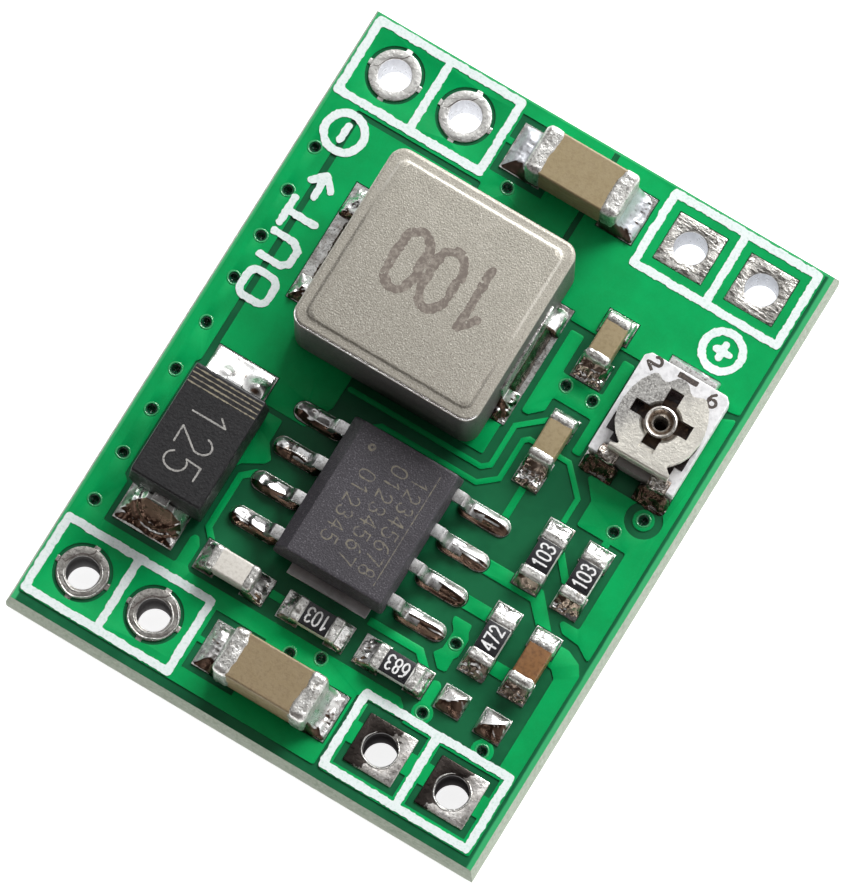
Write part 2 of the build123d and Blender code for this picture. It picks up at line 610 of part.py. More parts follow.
# ------------------------------------------------------------------- diode
dio = case(DIODE_X, DIODE_Y, DIODE_W, DIODE_L, DIODE_BOTTOM, DIODE_MID, DIODE_TOP,
           0.10, 0.065)
dleads = []
LX = DIODE_X - 0.07              # the leads leave a hair off the middle
for s in (-1, 1):
    ye = DIODE_Y + s * DIODE_L / 2
    neck = box(LX - 0.27, ye - s * 0.75, DIODE_MID - 0.10,
               LX + 0.27, ye + s * 0.22, DIODE_MID + 0.10)
    # the strap widens on its way down to the foot
    strap = make_face(Polyline(*[Vector(LX + x, ye + s * 0.02, z) for x, z in (
        (-0.46, SEAT_Z), (0.46, SEAT_Z), (0.46, 2.15), (0.27, 2.42),
        (0.27, DIODE_MID + 0.10), (-0.27, DIODE_MID + 0.10), (-0.27, 2.42), (-0.46, 2.15),
    )], close=True))
    strap = extrude(strap, amount=0.20, dir=(0, s, 0))
    foot = box(LX - 0.46, ye + s * 0.22, SEAT_Z, LX + 0.46,
               ye - s * 0.80, DIODE_BOTTOM)
    dleads.append(neck + strap + foot)
ddie = box(DIODE_X - 0.65, DIODE_Y - 0.65, DIODE_MID - 0.13,
           DIODE_X + 0.65, DIODE_Y + 0.65, DIODE_MID + 0.13)
for piece in dleads + [ddie]:
    dio = dio - piece
keep("diode_body", dio)
keep("diode_leads", dleads)
keep("diode_die", ddie)
yu, yl = DIODE_Y + DIODE_L / 2 + 0.22, DIODE_Y - DIODE_L / 2 - 0.22
keep("diode_solder", [
    wedge_y(yu, DIODE_PADS[0][3] - 0.03, -6.75, -4.88, 2.35),
    wedge_y(yl, DIODE_PADS[1][1] + 0.04, -6.75, -4.88, 2.35),
])

# ------------------------------------------------------------------ chips


def chip(cx, cy, along, l, w, h, end, skin, z0):
    """A ceramic block and the two metal cups on its ends."""
    lx, ly = (l, w) if along == "x" else (w, l)
    body = Pos(cx, cy, z0 + h / 2) * Box(
        lx - 2 * skin, ly - 2 * skin, h - 2 * skin)
    body = eased(body, 0.07)
    whole = Pos(cx, cy, z0 + h / 2) * Box(lx, ly, h)
    whole = eased(whole, min(0.09, 0.16 * h))
    cups = []
    for s in (-1, 1):
        if along == "x":
            cut = box(cx + s * (l / 2 - end), cy - w, z0 - 1, cx + s * (l / 2 + 1),
                      cy + w, z0 + h + 1)
        else:
            cut = box(cx - w, cy + s * (l / 2 - end), z0 - 1, cx + w,
                      cy + s * (l / 2 + 1), z0 + h + 1)
        cups.append((whole & cut) - body)
    return body, cups


CHIP_Z = SEAT_Z + 0.02


def chip_solder(cx, cy, along, l, w, h, pads, rise):
    out = []
    for r in pads:
        if along == "y":
            up = (r[1] + r[3]) / 2 > cy
            y_in = cy + (l / 2 if up else -l / 2)
            y_out = r[3] - 0.02 if up else r[1] + 0.02
            if abs(y_out - y_in) < 0.06:
                y_out = y_in + (0.06 if up else -0.06)
            out.append(wedge_y(y_in, y_out, max(r[0], cx - w / 2) + 0.02,
                               min(r[2], cx + w / 2) - 0.02, SEAT_Z + rise * h))
        else:
            up = (r[0] + r[2]) / 2 > cx
            x_in = cx + (l / 2 if up else -l / 2)
            x_out = r[2] - 0.02 if up else r[0] + 0.02
            out.append(wedge_x(x_in, x_out, max(r[1], cy - w / 2) + 0.02,
                               min(r[3], cy + w / 2) - 0.02, SEAT_Z + rise * h))
    return out


for name, (cx, cy), pads in (
    ("output_capacitor", OUT_CAP, CAP_PADS[:2]),
    ("input_capacitor", IN_CAP, CAP_PADS[2:]),
):
    body, cups = chip(cx, cy, "x", CAP_L, CAP_W, CAP_H, CAP_END, 0.03, CHIP_Z)
    keep(name + "_body", body)
    keep(name + "_ends", cups)
    keep(name + "_solder", chip_solder(cx, cy, "x", CAP_L, CAP_W, CAP_H, pads, 0.55))

bodies, cups_all, solder_all = [], [], []
for cx, cy, along in CHIP_CAPS:
    body, cups = chip(cx, cy, along, CHIP_L, CHIP_W, CHIP_H_CAP, CHIP_END, 0.02, CHIP_Z)
    bodies.append(body)
    cups_all += cups
    solder_all += chip_solder(cx, cy, along, CHIP_L, CHIP_W, CHIP_H_CAP,
                              CHIP_PADS[(cx, cy)], 0.55)
keep("small_capacitor_bodies", bodies)
keep("small_capacitor_ends", cups_all)
cx, cy, along = CHIP_LIGHT
body, cups = chip(cx, cy, along, CHIP_L, CHIP_W, CHIP_H_CAP, CHIP_END, 0.02, CHIP_Z)
keep("light_capacitor_body", body)
keep("light_capacitor_ends", cups)
solder_all += chip_solder(cx, cy, along, CHIP_L, CHIP_W, CHIP_H_CAP,
                          CHIP_PADS[(cx, cy)], 0.5)
slabs, coats, ends = [], [], []
for cx, cy, along in CHIP_RES:
    body, cups = chip(cx, cy, along, CHIP_L, CHIP_W, CHIP_H_RES, CHIP_END, 0.02, CHIP_Z)
    slabs.append(body)
    ends += cups
    a, b = CHIP_L / 2 - CHIP_END - 0.01, CHIP_W / 2 - 0.03
    if along == "y":
        a, b = b, a
    top = CHIP_Z + CHIP_H_RES - 0.02
    coats.append(box(cx - a, cy - b, top, cx + a, cy + b, top + 0.03))
    solder_all += chip_solder(cx, cy, along, CHIP_L, CHIP_W, CHIP_H_RES,
                              CHIP_PADS[(cx, cy)], 0.7)
keep("resistor_bodies", slabs)
keep("resistor_coats", coats)
keep("resistor_ends", ends)
keep("chip_solder", solder_all)
spare = []
for r in SPARE_PADS:
    z = SEAT_Z
    low = (Pos(0, 0, z) * area(grown(r, -0.03))).face()
    high = (Pos(0, 0, z + 0.16) * area(grown(r, -0.28))).face()
    spare.append(loft([low, high]))
keep("spare_pad_solder", spare)

# ----------------------------------------------------------------- trimmer
tx, ty = TRIM_X, TRIM_Y
hw, hl = TRIM_W / 2, TRIM_L / 2
base = slab(face_of([
    (tx - hw, ty - hl), (tx + hw, ty - hl), (tx + hw, ty + hl - 0.16),
    (tx + hw - 0.16, ty + hl), (tx - hw + 0.16, ty + hl), (tx - hw, ty + hl - 0.16),
]), TRIM_BOTTOM, TRIM_FLOOR)
base -= Pos(ROTOR_X, ROTOR_Y, 2) * Cylinder(PIN_TUBE_R, 3)
# resistive film: a horseshoe open towards the two end terminals, plus its legs
film = Pos(ROTOR_X, ROTOR_Y) * (Circle(1.34) - Circle(0.86))
film -= area((ROTOR_X - 0.55, ROTOR_Y - 2.0, ROTOR_X + 0.55, ROTOR_Y - 0.3))
for r in ((4.68, 3.00, 5.30, 3.60), (4.96, 2.74, 5.26, 3.05),
          (6.88, 3.00, 7.38, 3.60), (6.88, 2.72, 7.12, 3.05)):
    film += area(r)
film_solids = [slab(f, TRIM_FLOOR, TRIM_FLOOR + 0.02) for f in film.faces()]
# end terminals fold from the base's upper edge down its side to the pads
terms = []
for x0, x1 in ((4.86, 5.50), (6.64, 7.30)):
    up = box(x0, ty - hl - 0.08, SEAT_Z, x1, ty - hl, TRIM_FLOOR + 0.04)
    lip = box(x0, ty - hl - 0.08, TRIM_FLOOR, x1, ty - hl + 0.34, TRIM_FLOOR + 0.04)
    foot = box(x0, ty - hl - 0.08, SEAT_Z, x1, ty - hl + 0.5, TRIM_BOTTOM)
    terms.append(up + lip + foot)
up = box(5.28, ty + hl, SEAT_Z, 6.92, ty + hl + 0.19, TRIM_FLOOR - 0.01)
foot = box(5.28, ty + hl - 0.5, SEAT_Z, 6.92, ty + hl + 0.19, TRIM_BOTTOM)
terms.append(up + foot)
# a hollow centre pin, flared over the rotor, with a foot under the base
pin_prof = make_face(Polyline(
    Vector(PIN_TUBE_BORE, 0, SEAT_Z), Vector(0.42, 0, SEAT_Z),
    Vector(0.42, 0, TRIM_BOTTOM), Vector(PIN_TUBE_R, 0, TRIM_BOTTOM),
    Vector(PIN_TUBE_R, 0, 2.665), Vector(0.44, 0, 2.725), Vector(0.505, 0, 2.80),
    Vector(0.50, 0, 2.845), Vector(0.455, 0, 2.86), Vector(0.40, 0, 2.83),
    Vector(0.27, 0, 2.70), Vector(PIN_TUBE_BORE, 0, 2.62), close=True))
pin = Pos(ROTOR_X, ROTOR_Y, 0) * revolve(pin_prof, Axis.Z, 360)
keep("trimmer_base", base)
keep("trimmer_track", film_solids)
keep("trimmer_terminals", terms)
keep("trimmer_pin", pin)

# rotor: a pressed plate with a pointer lug between two scallops, a wide tab
# folded down between two horns, a dish for the pin and four driver slots
RIM = [
    (1.37, 0.00), (1.34, 0.35), (1.25, 0.72), (1.08, 1.06), (0.86, 1.30), (0.74, 1.31),
    (0.60, 1.24), (0.44, 1.19), (0.31, 1.25), (0.19, 1.40), (0.06, 1.48), (-0.10, 1.49),
    (-0.24, 1.45), (-0.34, 1.32), (-0.44, 1.20), (-0.55, 1.165), (-0.66, 1.18),
    (-0.76, 1.26), (-0.88, 1.28), (-0.98, 1.21), (-1.20, 0.86), (-1.33, 0.48),
    (-1.385, 0.08), (-1.36, -0.32), (-1.25, -0.66), (-1.06, -0.94), (-0.86, -1.12),
    (-0.77, -1.20), (-0.80, -1.25), (-1.02, -1.32), (-1.02, -1.36), (1.08, -1.36),
    (1.10, -1.33), (0.84, -1.10), (0.96, -0.98), (1.16, -0.74), (1.30, -0.42),
]
disc = slab(face_of(rounded(RIM, 0.10, 2)), ROTOR_LOW, ROTOR_TOP)
tab = box(-1.02, -1.36, 2.42, 1.08, -1.47, ROTOR_TOP)
tab += box(-1.02, -1.30, ROTOR_LOW, 1.08, -1.40, ROTOR_TOP)
tab = eased(tab, 0.09, tab.edges().filter_by(Axis.X).group_by(Axis.Z)[-1].sort_by(Axis.Y)[:1])
disc = disc + tab
dish = Pos(0, 0, ROTOR_TOP - 0.19) * Cone(0.56, 0.67, 0.19,
                                          align=(Align.CENTER, Align.CENTER, Align.MIN))
disc -= dish
disc -= Cylinder(ROTOR_BORE, 8)
disc -= box(-0.28, 0.40, 2.5, 0.19, 1.09, 3.0)
disc -= box(-1.04, -0.15, 2.5, -0.40, 0.29, 3.0)
disc -= box(0.40, -0.10, 2.5, 0.95, 0.37, 3.0)
ramp = make_face(Polyline(
    Vector(-0.22, -0.40, 2.5), Vector(-0.22, -0.40, 3.0), Vector(-0.22, -1.01, 3.0),
    Vector(-0.22, -1.01, ROTOR_TOP - 0.03), Vector(-0.22, -0.80, ROTOR_LOW),
    Vector(-0.22, -0.80, 2.5), close=True))
disc -= extrude(ramp, amount=0.51, dir=(1, 0, 0))
disc = Pos(ROTOR_X, ROTOR_Y, 0) * disc
keep("trimmer_rotor", disc)
# the sliding contact under the rotor, clear of the film by a hair
arm = make_face(Polyline(
    Vector(0, -0.42, ROTOR_LOW), Vector(0, -1.18, ROTOR_LOW), Vector(0, -1.18, 2.50),
    Vector(0, -1.10, 2.36), Vector(0, -1.04, 2.335), Vector(0, -0.98, 2.36),
    Vector(0, -0.80, 2.52), Vector(0, -0.42, 2.56), close=True))
arm = Pos(ROTOR_X - 0.17 + 0.55, ROTOR_Y, 0) * extrude(arm, amount=0.34, dir=(1, 0, 0))
arm -= Pos(ROTOR_X, ROTOR_Y, 2.5) * Cylinder(0.45, 2)
keep("trimmer_wiper", arm & (Pos(ROTOR_X, ROTOR_Y, 2.5) * Cylinder(1.30, 2)))
# terminal solder: a slope from each terminal's foot out over its pad
tsolder = []
for x0, x1 in ((4.86, 5.50), (6.64, 7.30)):
    tsolder.append(wedge_y(ty - hl - 0.08, TRIM_PADS[0][1] + 0.02, x0, x1, 2.12))
tsolder.append(wedge_y(ty + hl + 0.19, TRIM_PADS[2][3] - 0.02, 5.30, 6.80, 1.95))
keep("trimmer_solder", tsolder)

# ------------------------------------------------------------------- write
os.makedirs("parts", exist_ok=True)
for name, solids in NODES.items():
    shape = solids[0] if len(solids) == 1 else Compound(children=solids)
    export_step(shape, os.path.join("parts", name + ".step"))
    print(name, len(solids), "solid(s)")
print(len(NODES), "nodes")
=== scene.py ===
import bpy
import bmesh
import math
import numpy as np
from mathutils import Matrix, Vector


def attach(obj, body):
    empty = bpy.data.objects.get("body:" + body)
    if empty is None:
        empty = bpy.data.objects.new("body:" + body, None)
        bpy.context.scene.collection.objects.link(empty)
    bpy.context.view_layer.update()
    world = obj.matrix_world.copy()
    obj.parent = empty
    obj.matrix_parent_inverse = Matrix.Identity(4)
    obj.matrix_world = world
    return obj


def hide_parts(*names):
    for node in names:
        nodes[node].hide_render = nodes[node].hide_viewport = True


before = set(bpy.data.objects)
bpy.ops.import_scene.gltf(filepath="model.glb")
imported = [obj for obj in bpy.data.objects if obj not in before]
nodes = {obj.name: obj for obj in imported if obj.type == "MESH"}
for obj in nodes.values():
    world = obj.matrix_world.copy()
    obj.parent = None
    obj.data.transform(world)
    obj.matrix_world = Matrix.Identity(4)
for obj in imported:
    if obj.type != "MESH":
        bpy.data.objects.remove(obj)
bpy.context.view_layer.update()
scene = bpy.context.scene
scene.view_settings.view_transform = "Standard"
scene.view_settings.look = "None"

MM = 0.001
BOARD_T = 1.60
SEAT = 1.65

# ------------------------------------------------------------------ numbers


def lin(r, g, b):
    """Display values 0 to 255 as linear ones."""
    out = []
    for c in (r, g, b):
        c /= 255.0
        out.append(c / 12.92 if c <= 0.04045 else ((c + 0.055) / 1.055) ** 2.4)
    return (out[0], out[1], out[2], 1.0)


def lattice(ix, iy, seed):
    n = (ix.astype(np.int64) * 374761393 + iy.astype(np.int64) * 668265263
         + seed * 974634777) & 0xFFFFFFFF
    n = ((n ^ (n >> 13)) * 1274126177) & 0xFFFFFFFF
    n = (n ^ (n >> 16)) & 0xFFFFFFFF
    return n.astype(float) / 4294967295.0


def vnoise(x, y, seed):
    """Smooth noise from 0 to 1, one cell to a unit."""
    x, y = np.asarray(x, float), np.asarray(y, float)
    ix, iy = np.floor(x), np.floor(y)
    fx, fy = x - ix, y - iy
    fx = fx * fx * fx * (fx * (fx * 6 - 15) + 10)
    fy = fy * fy * fy * (fy * (fy * 6 - 15) + 10)
    a = lattice(ix, iy, seed)
    b = lattice(ix + 1, iy, seed)
    c = lattice(ix, iy + 1, seed)
    d = lattice(ix + 1, iy + 1, seed)
    return (a * (1 - fx) + b * fx) * (1 - fy) + (c * (1 - fx) + d * fx) * fy


def fnoise(x, y, seed, octaves=3):
    """Several scales of noise, about -1 to 1."""
    v, amp, tot = 0.0, 1.0, 0.0
    for k in range(octaves):
        v = v + amp * (2 * vnoise(x * 2 ** k + 17.3 * k, y * 2 ** k - 9.1 * k, seed + k) - 1)
        tot += amp
        amp *= 0.5
    return v / tot


def smooth(a, b, v):
    t = np.clip((v - a) / (b - a), 0, 1)
    return t * t * (3 - 2 * t)


def sd_rect(x, y, r, corner=0.0):
    cx, cy = (r[0] + r[2]) / 2, (r[1] + r[3]) / 2
    hx, hy = abs(r[2] - r[0]) / 2 - corner, abs(r[3] - r[1]) / 2 - corner
    qx, qy = np.abs(x - cx) - hx, np.abs(y - cy) - hy
    out = np.hypot(np.maximum(qx, 0), np.maximum(qy, 0))
    return out + np.minimum(np.maximum(qx, qy), 0) - corner


def sd_line(x, y, pts):
    best = None
    for (x0, y0), (x1, y1) in zip(pts[:-1], pts[1:]):
        dx, dy = x1 - x0, y1 - y0
        t = np.clip(((x - x0) * dx + (y - y0) * dy) / (dx * dx + dy * dy + 1e-12), 0, 1)
        d = np.hypot(x - x0 - t * dx, y - y0 - t * dy)
        best = d if best is None else np.minimum(best, d)
    return best


# ---------------------------------------------------------------- materials


class Shader:
    """A node material whose coordinates are the object's own, in millimetres."""

    def __init__(self, name):
        self.m = bpy.data.materials.new(name)
        self.m.use_nodes = True
        self.t = self.m.node_tree
        self.t.nodes.clear()
        self.out = self.add("ShaderNodeOutputMaterial")
        self.b = self.add("ShaderNodeBsdfPrincipled")
        self.t.links.new(self.b.outputs[0], self.out.inputs[0])
        tc = self.add("ShaderNodeTexCoord")
        vm = self.add("ShaderNodeVectorMath")
        vm.operation = "MULTIPLY"
        self.t.links.new(tc.outputs["Object"], vm.inputs[0])
        vm.inputs[1].default_value = (1000, 1000, 1000)
        self.mm = vm.outputs[0]
        self._xyz = None

    def add(self, kind):
        return self.t.nodes.new(kind)

    def put(self, socket, value):
        if isinstance(value, bpy.types.NodeSocket):
            self.t.links.new(value, socket)
        else:
            socket.default_value = value

    def set(self, name, value):
        self.put(self.b.inputs[name], value)

    def stretch(self, sx, sy, sz):
        vm = self.add("ShaderNodeVectorMath")
        vm.operation = "MULTIPLY"
        self.t.links.new(self.mm, vm.inputs[0])
        vm.inputs[1].default_value = (sx, sy, sz)
        return vm.outputs[0]

    def noise(self, scale, detail=3.0, rough=0.55, warp=0.0, vec=None):
        n = self.add("ShaderNodeTexNoise")
        n.inputs["Scale"].default_value = scale
        n.inputs["Detail"].default_value = detail
        n.inputs["Roughness"].default_value = rough
        n.inputs["Distortion"].default_value = warp
        self.t.links.new(self.mm if vec is None else vec, n.inputs["Vector"])
        return n.outputs["Fac"]

    def cells(self, scale, feature="F1", vec=None):
        n = self.add("ShaderNodeTexVoronoi")
        n.feature = feature
        n.inputs["Scale"].default_value = scale
        self.t.links.new(self.mm if vec is None else vec, n.inputs["Vector"])
        return n.outputs["Distance"], n.outputs["Color"] if feature == "F1" else None

    def ramp(self, fac, stops, mode="LINEAR"):
        n = self.add("ShaderNodeValToRGB")
        n.color_ramp.interpolation = mode
        e = n.color_ramp.elements
        while len(e) < len(stops):
            e.new(0.5)
        for i, (p, c) in enumerate(stops):
            e[i].position = p
            e[i].color = c if len(c) == 4 else (c[0], c[1], c[2], 1)
        self.t.links.new(fac, n.inputs[0])
        return n.outputs[0]

    def steps(self, fac, lo, hi, a=0.0, b=1.0):
        n = self.add("ShaderNodeMapRange")
        n.interpolation_type = "SMOOTHSTEP"
        self.t.links.new(fac, n.inputs[0])
        n.inputs[1].default_value = lo
        n.inputs[2].default_value = hi
        n.inputs[3].default_value = a
        n.inputs[4].default_value = b
        return n.outputs[0]

    def mix(self, fac, a, b, how="MIX"):
        n = self.add("ShaderNodeMix")
        n.data_type = "RGBA"
        n.blend_type = how
        self.put(n.inputs[0], fac)
        self.put(n.inputs[6], a)
        self.put(n.inputs[7], b)
        return n.outputs[2]

    def math(self, op, a, b=0.0):
        n = self.add("ShaderNodeMath")
        n.operation = op
        self.put(n.inputs[0], a)
        self.put(n.inputs[1], b)
        return n.outputs[0]

    def xyz(self, i):
        if self._xyz is None:
            n = self.add("ShaderNodeSeparateXYZ")
            self.t.links.new(self.mm, n.inputs[0])
            self._xyz = n
        return self._xyz.outputs[i]

    def normal_z(self):
        g = self.add("ShaderNodeNewGeometry")
        n = self.add("ShaderNodeSeparateXYZ")
        self.t.links.new(g.outputs["Normal"], n.inputs[0])
        return n.outputs[2]

    def facing(self, direction):
        g = self.add("ShaderNodeNewGeometry")
        n = self.add("ShaderNodeVectorMath")
        n.operation = "DOT_PRODUCT"
        self.t.links.new(g.outputs["Normal"], n.inputs[0])
        n.inputs[1].default_value = direction
        return n.outputs["Value"]

    def bump(self, height, mm, strength=1.0, under=None):
        n = self.add("ShaderNodeBump")
        n.inputs["Strength"].default_value = strength
        n.inputs["Distance"].default_value = mm * MM
        self.t.links.new(height, n.inputs["Height"])
        if under is not None:
            self.t.links.new(under, n.inputs["Normal"])
        self.t.links.new(n.outputs[0], self.b.inputs["Normal"])
        return n.outputs[0]


def mat_mask(name, face, dark, gloss=0.30):
    """Green coating: an even colour with a faint mottle and a soft sheen."""
    s = Shader(name)
    big = s.noise(0.55, 3, 0.6)
    fine = s.noise(14.0, 4, 0.6)
    c = s.mix(s.steps(big, 0.35, 0.65), face, dark)
    c = s.mix(s.math("MULTIPLY", s.steps(fine, 0.35, 0.75), 0.16), c, (face[0] * 1.6, face[1] * 1.25, face[2] * 1.5, 1))
    s.set("Base Color", c)
    s.set("Roughness", s.steps(s.noise(5.0, 4), 0.3, 0.7, gloss, gloss + 0.12))
    s.set("Specular IOR Level", 0.13)
    s.bump(s.noise(9.0, 4, 0.6), 0.003, 0.5)
    return s.m


def mat_board():
    """The laminate: coated dark green on its faces, brighter near the rim where light
    gets in, and pale green glass cloth at the broken rim."""
    s = Shader("board_laminate")
    z = s.xyz(2)
    coat = s.mix(s.steps(s.noise(0.8, 3), 0.35, 0.65), lin(22, 100, 62), lin(15, 88, 54))
    wave = s.math("MULTIPLY", s.noise(1.6, 3), 0.05)
    side = s.steps(s.math("ADD", s.math("ABSOLUTE", s.xyz(0)), wave), 8.03, 8.10)
    far = s.steps(s.math("ADD", s.xyz(1), wave), 10.74, 10.80)
    coat = s.mix(s.math("MAXIMUM", side, far), coat, lin(60, 172, 110))
    cloth = s.noise(1.0, 5, 0.7, vec=s.stretch(9, 9, 30))
    rim = s.ramp(cloth, [(0.25, lin(138, 146, 128)), (0.5, lin(176, 186, 170)), (0.75, lin(208, 214, 204))])
    rim = s.mix(s.steps(s.noise(7.0, 4), 0.50, 0.66), rim, lin(158, 170, 152))
    # painted shade: a dark brown disc on the board under the trimmer's hollow pin
    dx = s.math("SUBTRACT", s.xyz(0), 6.09)
    dy = s.math("SUBTRACT", s.xyz(1), 3.89)
    r2 = s.math("ADD", s.math("MULTIPLY", dx, dx), s.math("MULTIPLY", dy, dy))
    coat = s.mix(s.steps(r2, 0.20, 0.40, 1.0, 0.0), coat, lin(38, 26, 20))
    top = s.math("GREATER_THAN", z, 1.592)
    low = s.math("LESS_THAN", z, 0.048)
    face = s.math("MAXIMUM", top, low)
    nz = s.normal_z()
    flat = s.math("GREATER_THAN", s.math("ABSOLUTE", nz), 0.9)
    face = s.math("MULTIPLY", face, flat)
    s.set("Base Color", s.mix(face, rim, coat))
    s.set("Specular IOR Level", 0.16)
    s.set("Roughness", s.mix(face, (0.75, 0.75, 0.75, 1), (0.34, 0.34, 0.34, 1)))
    h = s.math("MULTIPLY", cloth, s.math("SUBTRACT", 1.0, face))
    s.bump(h, 0.06, 0.9)
    return s.m


def mat_metal(name, light, dark, rough=(0.16, 0.36), grain=7.0, depth=0.012, mottle=1.6,
              stain=None, much=(0.56, 0.72), metal=1.0, speck=0.0, shade=None):
    """A tinned or soldered skin: mottled, unevenly smooth, with stains and grit.
    shade: painted shade, a brown laid on the slopes that face -Y, away from the key light."""
    s = Shader(name)
    n = s.noise(mottle, 4, 0.6, 0.4)
    c = s.mix(s.steps(n, 0.38, 0.66), light, dark)
    if stain is not None:
        st = s.noise(2.6, 5, 0.7, 0.8)
        c = s.mix(s.steps(st, much[0], much[1]), c, stain)
    if speck > 0:
        g = s.noise(17.0, 2, 0.5)
        c = s.mix(s.math("MULTIPLY", s.steps(g, 0.54, 0.66), speck), c, (dark[0] * 0.35, dark[1] * 0.35, dark[2] * 0.35, 1))
    # painted shade: slopes that face away from the key light take the shade colour
    if shade is not None:
        away = s.math("ADD", s.facing((0.10, -0.99, 0.0)), s.math("MULTIPLY", s.math("SUBTRACT", s.noise(3.0, 3), 0.5), 0.35))
        c = s.mix(s.steps(away, 0.10, 0.26), c, shade)
    s.set("Base Color", c)
    s.set("Metallic", metal)
    s.set("Roughness", s.steps(s.noise(grain * 0.6, 3), 0.3, 0.7, rough[0], rough[1]))
    s.bump(s.noise(grain, 4, 0.6, 0.5), depth, 0.9)
    return s.m


def mat_pad(name, light, dark, barrel, streak=0.0, speck=0.5, half=None, centres=(), dull=False):
    """Levelled plating round a pin hole: grain and streaks on the pad, a smooth barrel.
    half: colour of the pad's shaded half, towards the input end and the left."""
    s = Shader(name)
    z = s.xyz(2)
    n = s.noise(2.0, 4, 0.6, 0.3)
    c = s.mix(s.steps(n, 0.38, 0.66), light, dark)
    streaks = s.noise(1.0, 4, 0.65, 0.6, vec=s.stretch(3.4, 11.0, 1.0))
    if streak > 0:
        c = s.mix(s.math("MULTIPLY", s.steps(streaks, 0.50, 0.58), streak), c, (dark[0] * 0.16, dark[1] * 0.15, dark[2] * 0.14, 1))
    grit = s.noise(15.0, 3, 0.6)
    c = s.mix(s.math("MULTIPLY", s.steps(grit, 0.52, 0.66), speck), c, (dark[0] * 0.45, dark[1] * 0.44, dark[2] * 0.42, 1))
    if half is not None:
        side = None
        for cx, cy in centres:
            dx = s.math("SUBTRACT", s.xyz(0), cx)
            dy = s.math("SUBTRACT", s.xyz(1), cy)
            near = s.math("LESS_THAN", s.math("MAXIMUM", s.math("ABSOLUTE", dx), s.math("ABSOLUTE", dy)), 1.1)
            v = s.math("ADD", s.math("MULTIPLY", dx, -0.80), s.math("MULTIPLY", dy, 0.35))
            v = s.math("ADD", v, s.math("MULTIPLY", s.math("SUBTRACT", s.noise(3.2, 4), 0.5), 1.1))
            v = s.math("MULTIPLY", s.steps(v, -0.03, 0.08), near)
            side = v if side is None else s.math("MAXIMUM", side, v)
        c = s.mix(side, c, half)
    deep = s.steps(z, 1.52, 1.615, 1.0, 0.0)
    s.set("Base Color", s.mix(deep, c, barrel))
    s.set("Metallic", s.steps(z, 1.52, 1.615, 0.0 if dull else 0.35, 1.0))
    if dull:
        s.set("Specular IOR Level", s.steps(z, 1.52, 1.615, 0.0, 0.5))
    s.set("Roughness", s.steps(s.noise(6.0, 3), 0.3, 0.7, 0.26, 0.42))
    h = s.math("ADD", s.noise(9.0, 4, 0.6, 0.4), s.math("MULTIPLY", streaks, 1.6 if streak > 0 else 0.3))
    h = s.math("MULTIPLY", h, s.steps(z, 1.52, 1.615, 0.1, 1.0))
    s.bump(h, 0.016, 0.9)
    return s.m


def mat_clip():
    """The inductor's folded clips: tinned on the walls, darker with bright grains low down by the board."""
    s = Shader("inductor_clip")
    grit = s.noise(7.0, 4, 0.65, 0.5)
    foot = s.ramp(grit, [(0.38, (0.06, 0.062, 0.05, 1)), (0.52, (0.26, 0.245, 0.21, 1)), (0.62, (0.88, 0.87, 0.84, 1))])
    wall = s.ramp(s.noise(5.0, 4, 0.6), [(0.34, (0.52, 0.51, 0.49, 1)), (0.66, (0.74, 0.73, 0.71, 1))])
    s.set("Base Color", s.mix(s.steps(s.math("ADD", s.xyz(2), s.math("MULTIPLY", s.noise(2.5, 3), 0.5)), 2.2, 2.6), foot, wall))
    s.set("Metallic", 0.95)
    s.set("Roughness", s.steps(s.noise(5.0, 3), 0.3, 0.7, 0.18, 0.36))
    s.bump(grit, 0.020, 0.9)
    return s.m


def mat_pin():
    """The trimmer's hollow pin: its flared lip bright, its funnel brown as painted shade."""
    s = Shader("trimmer_pin_skin")
    dx = s.math("SUBTRACT", s.xyz(0), 6.09)
    dy = s.math("SUBTRACT", s.xyz(1), 3.89)
    r = s.math("SQRT", s.math("ADD", s.math("MULTIPLY", dx, dx), s.math("MULTIPLY", dy, dy)))
    r = s.math("ADD", r, s.math("MULTIPLY", s.math("SUBTRACT", s.noise(4.0, 3), 0.5), 0.06))
    grit = s.noise(9.0, 3, 0.6)
    bright = s.mix(s.steps(grit, 0.40, 0.66), (0.84, 0.81, 0.76, 1), (0.60, 0.56, 0.50, 1))
    # painted shade: brown down the funnel
    brown = s.mix(s.steps(grit, 0.40, 0.66), (0.30, 0.23, 0.17, 1), (0.13, 0.09, 0.065, 1))
    c = s.mix(s.steps(r, 0.27, 0.30, 1.0, 0.0), brown, (0.56, 0.53, 0.49, 1))
    c = s.mix(s.steps(r, 0.38, 0.42), c, bright)
    s.set("Base Color", c)
    s.set("Metallic", 0.9)
    s.set("Roughness", s.steps(s.noise(6.0, 3), 0.3, 0.7, 0.24, 0.40))
    s.bump(grit, 0.010, 0.9)
    return s.m


def mat_terminal():
    """The trimmer's terminals: whitish with a dark speckle at the output end, brown
    at the other as painted shade."""
    s = Shader("trimmer_terminal")
    grit = s.noise(8.0, 4, 0.65, 0.4)
    brown = s.ramp(grit, [(0.35, (0.07, 0.05, 0.04, 1)), (0.52, (0.30, 0.24, 0.20, 1)), (0.66, (0.86, 0.83, 0.80, 1))])
    fine = s.noise(12.0, 3, 0.6)
    white = s.ramp(fine, [(0.34, (0.30, 0.28, 0.26, 1)), (0.44, (0.80, 0.80, 0.79, 1)), (0.70, (0.90, 0.90, 0.89, 1))])
    # painted shade: the terminals at the front are brown
    s.set("Base Color", s.mix(s.steps(s.xyz(1), 4.9, 5.1), brown, white))
    s.set("Metallic", s.steps(s.xyz(1), 4.9, 5.1, 0.95, 0.45))
    s.set("Roughness", s.steps(s.noise(5.0, 3), 0.3, 0.7, 0.26, 0.42))
    s.bump(grit, 0.022, 0.9)
    return s.m


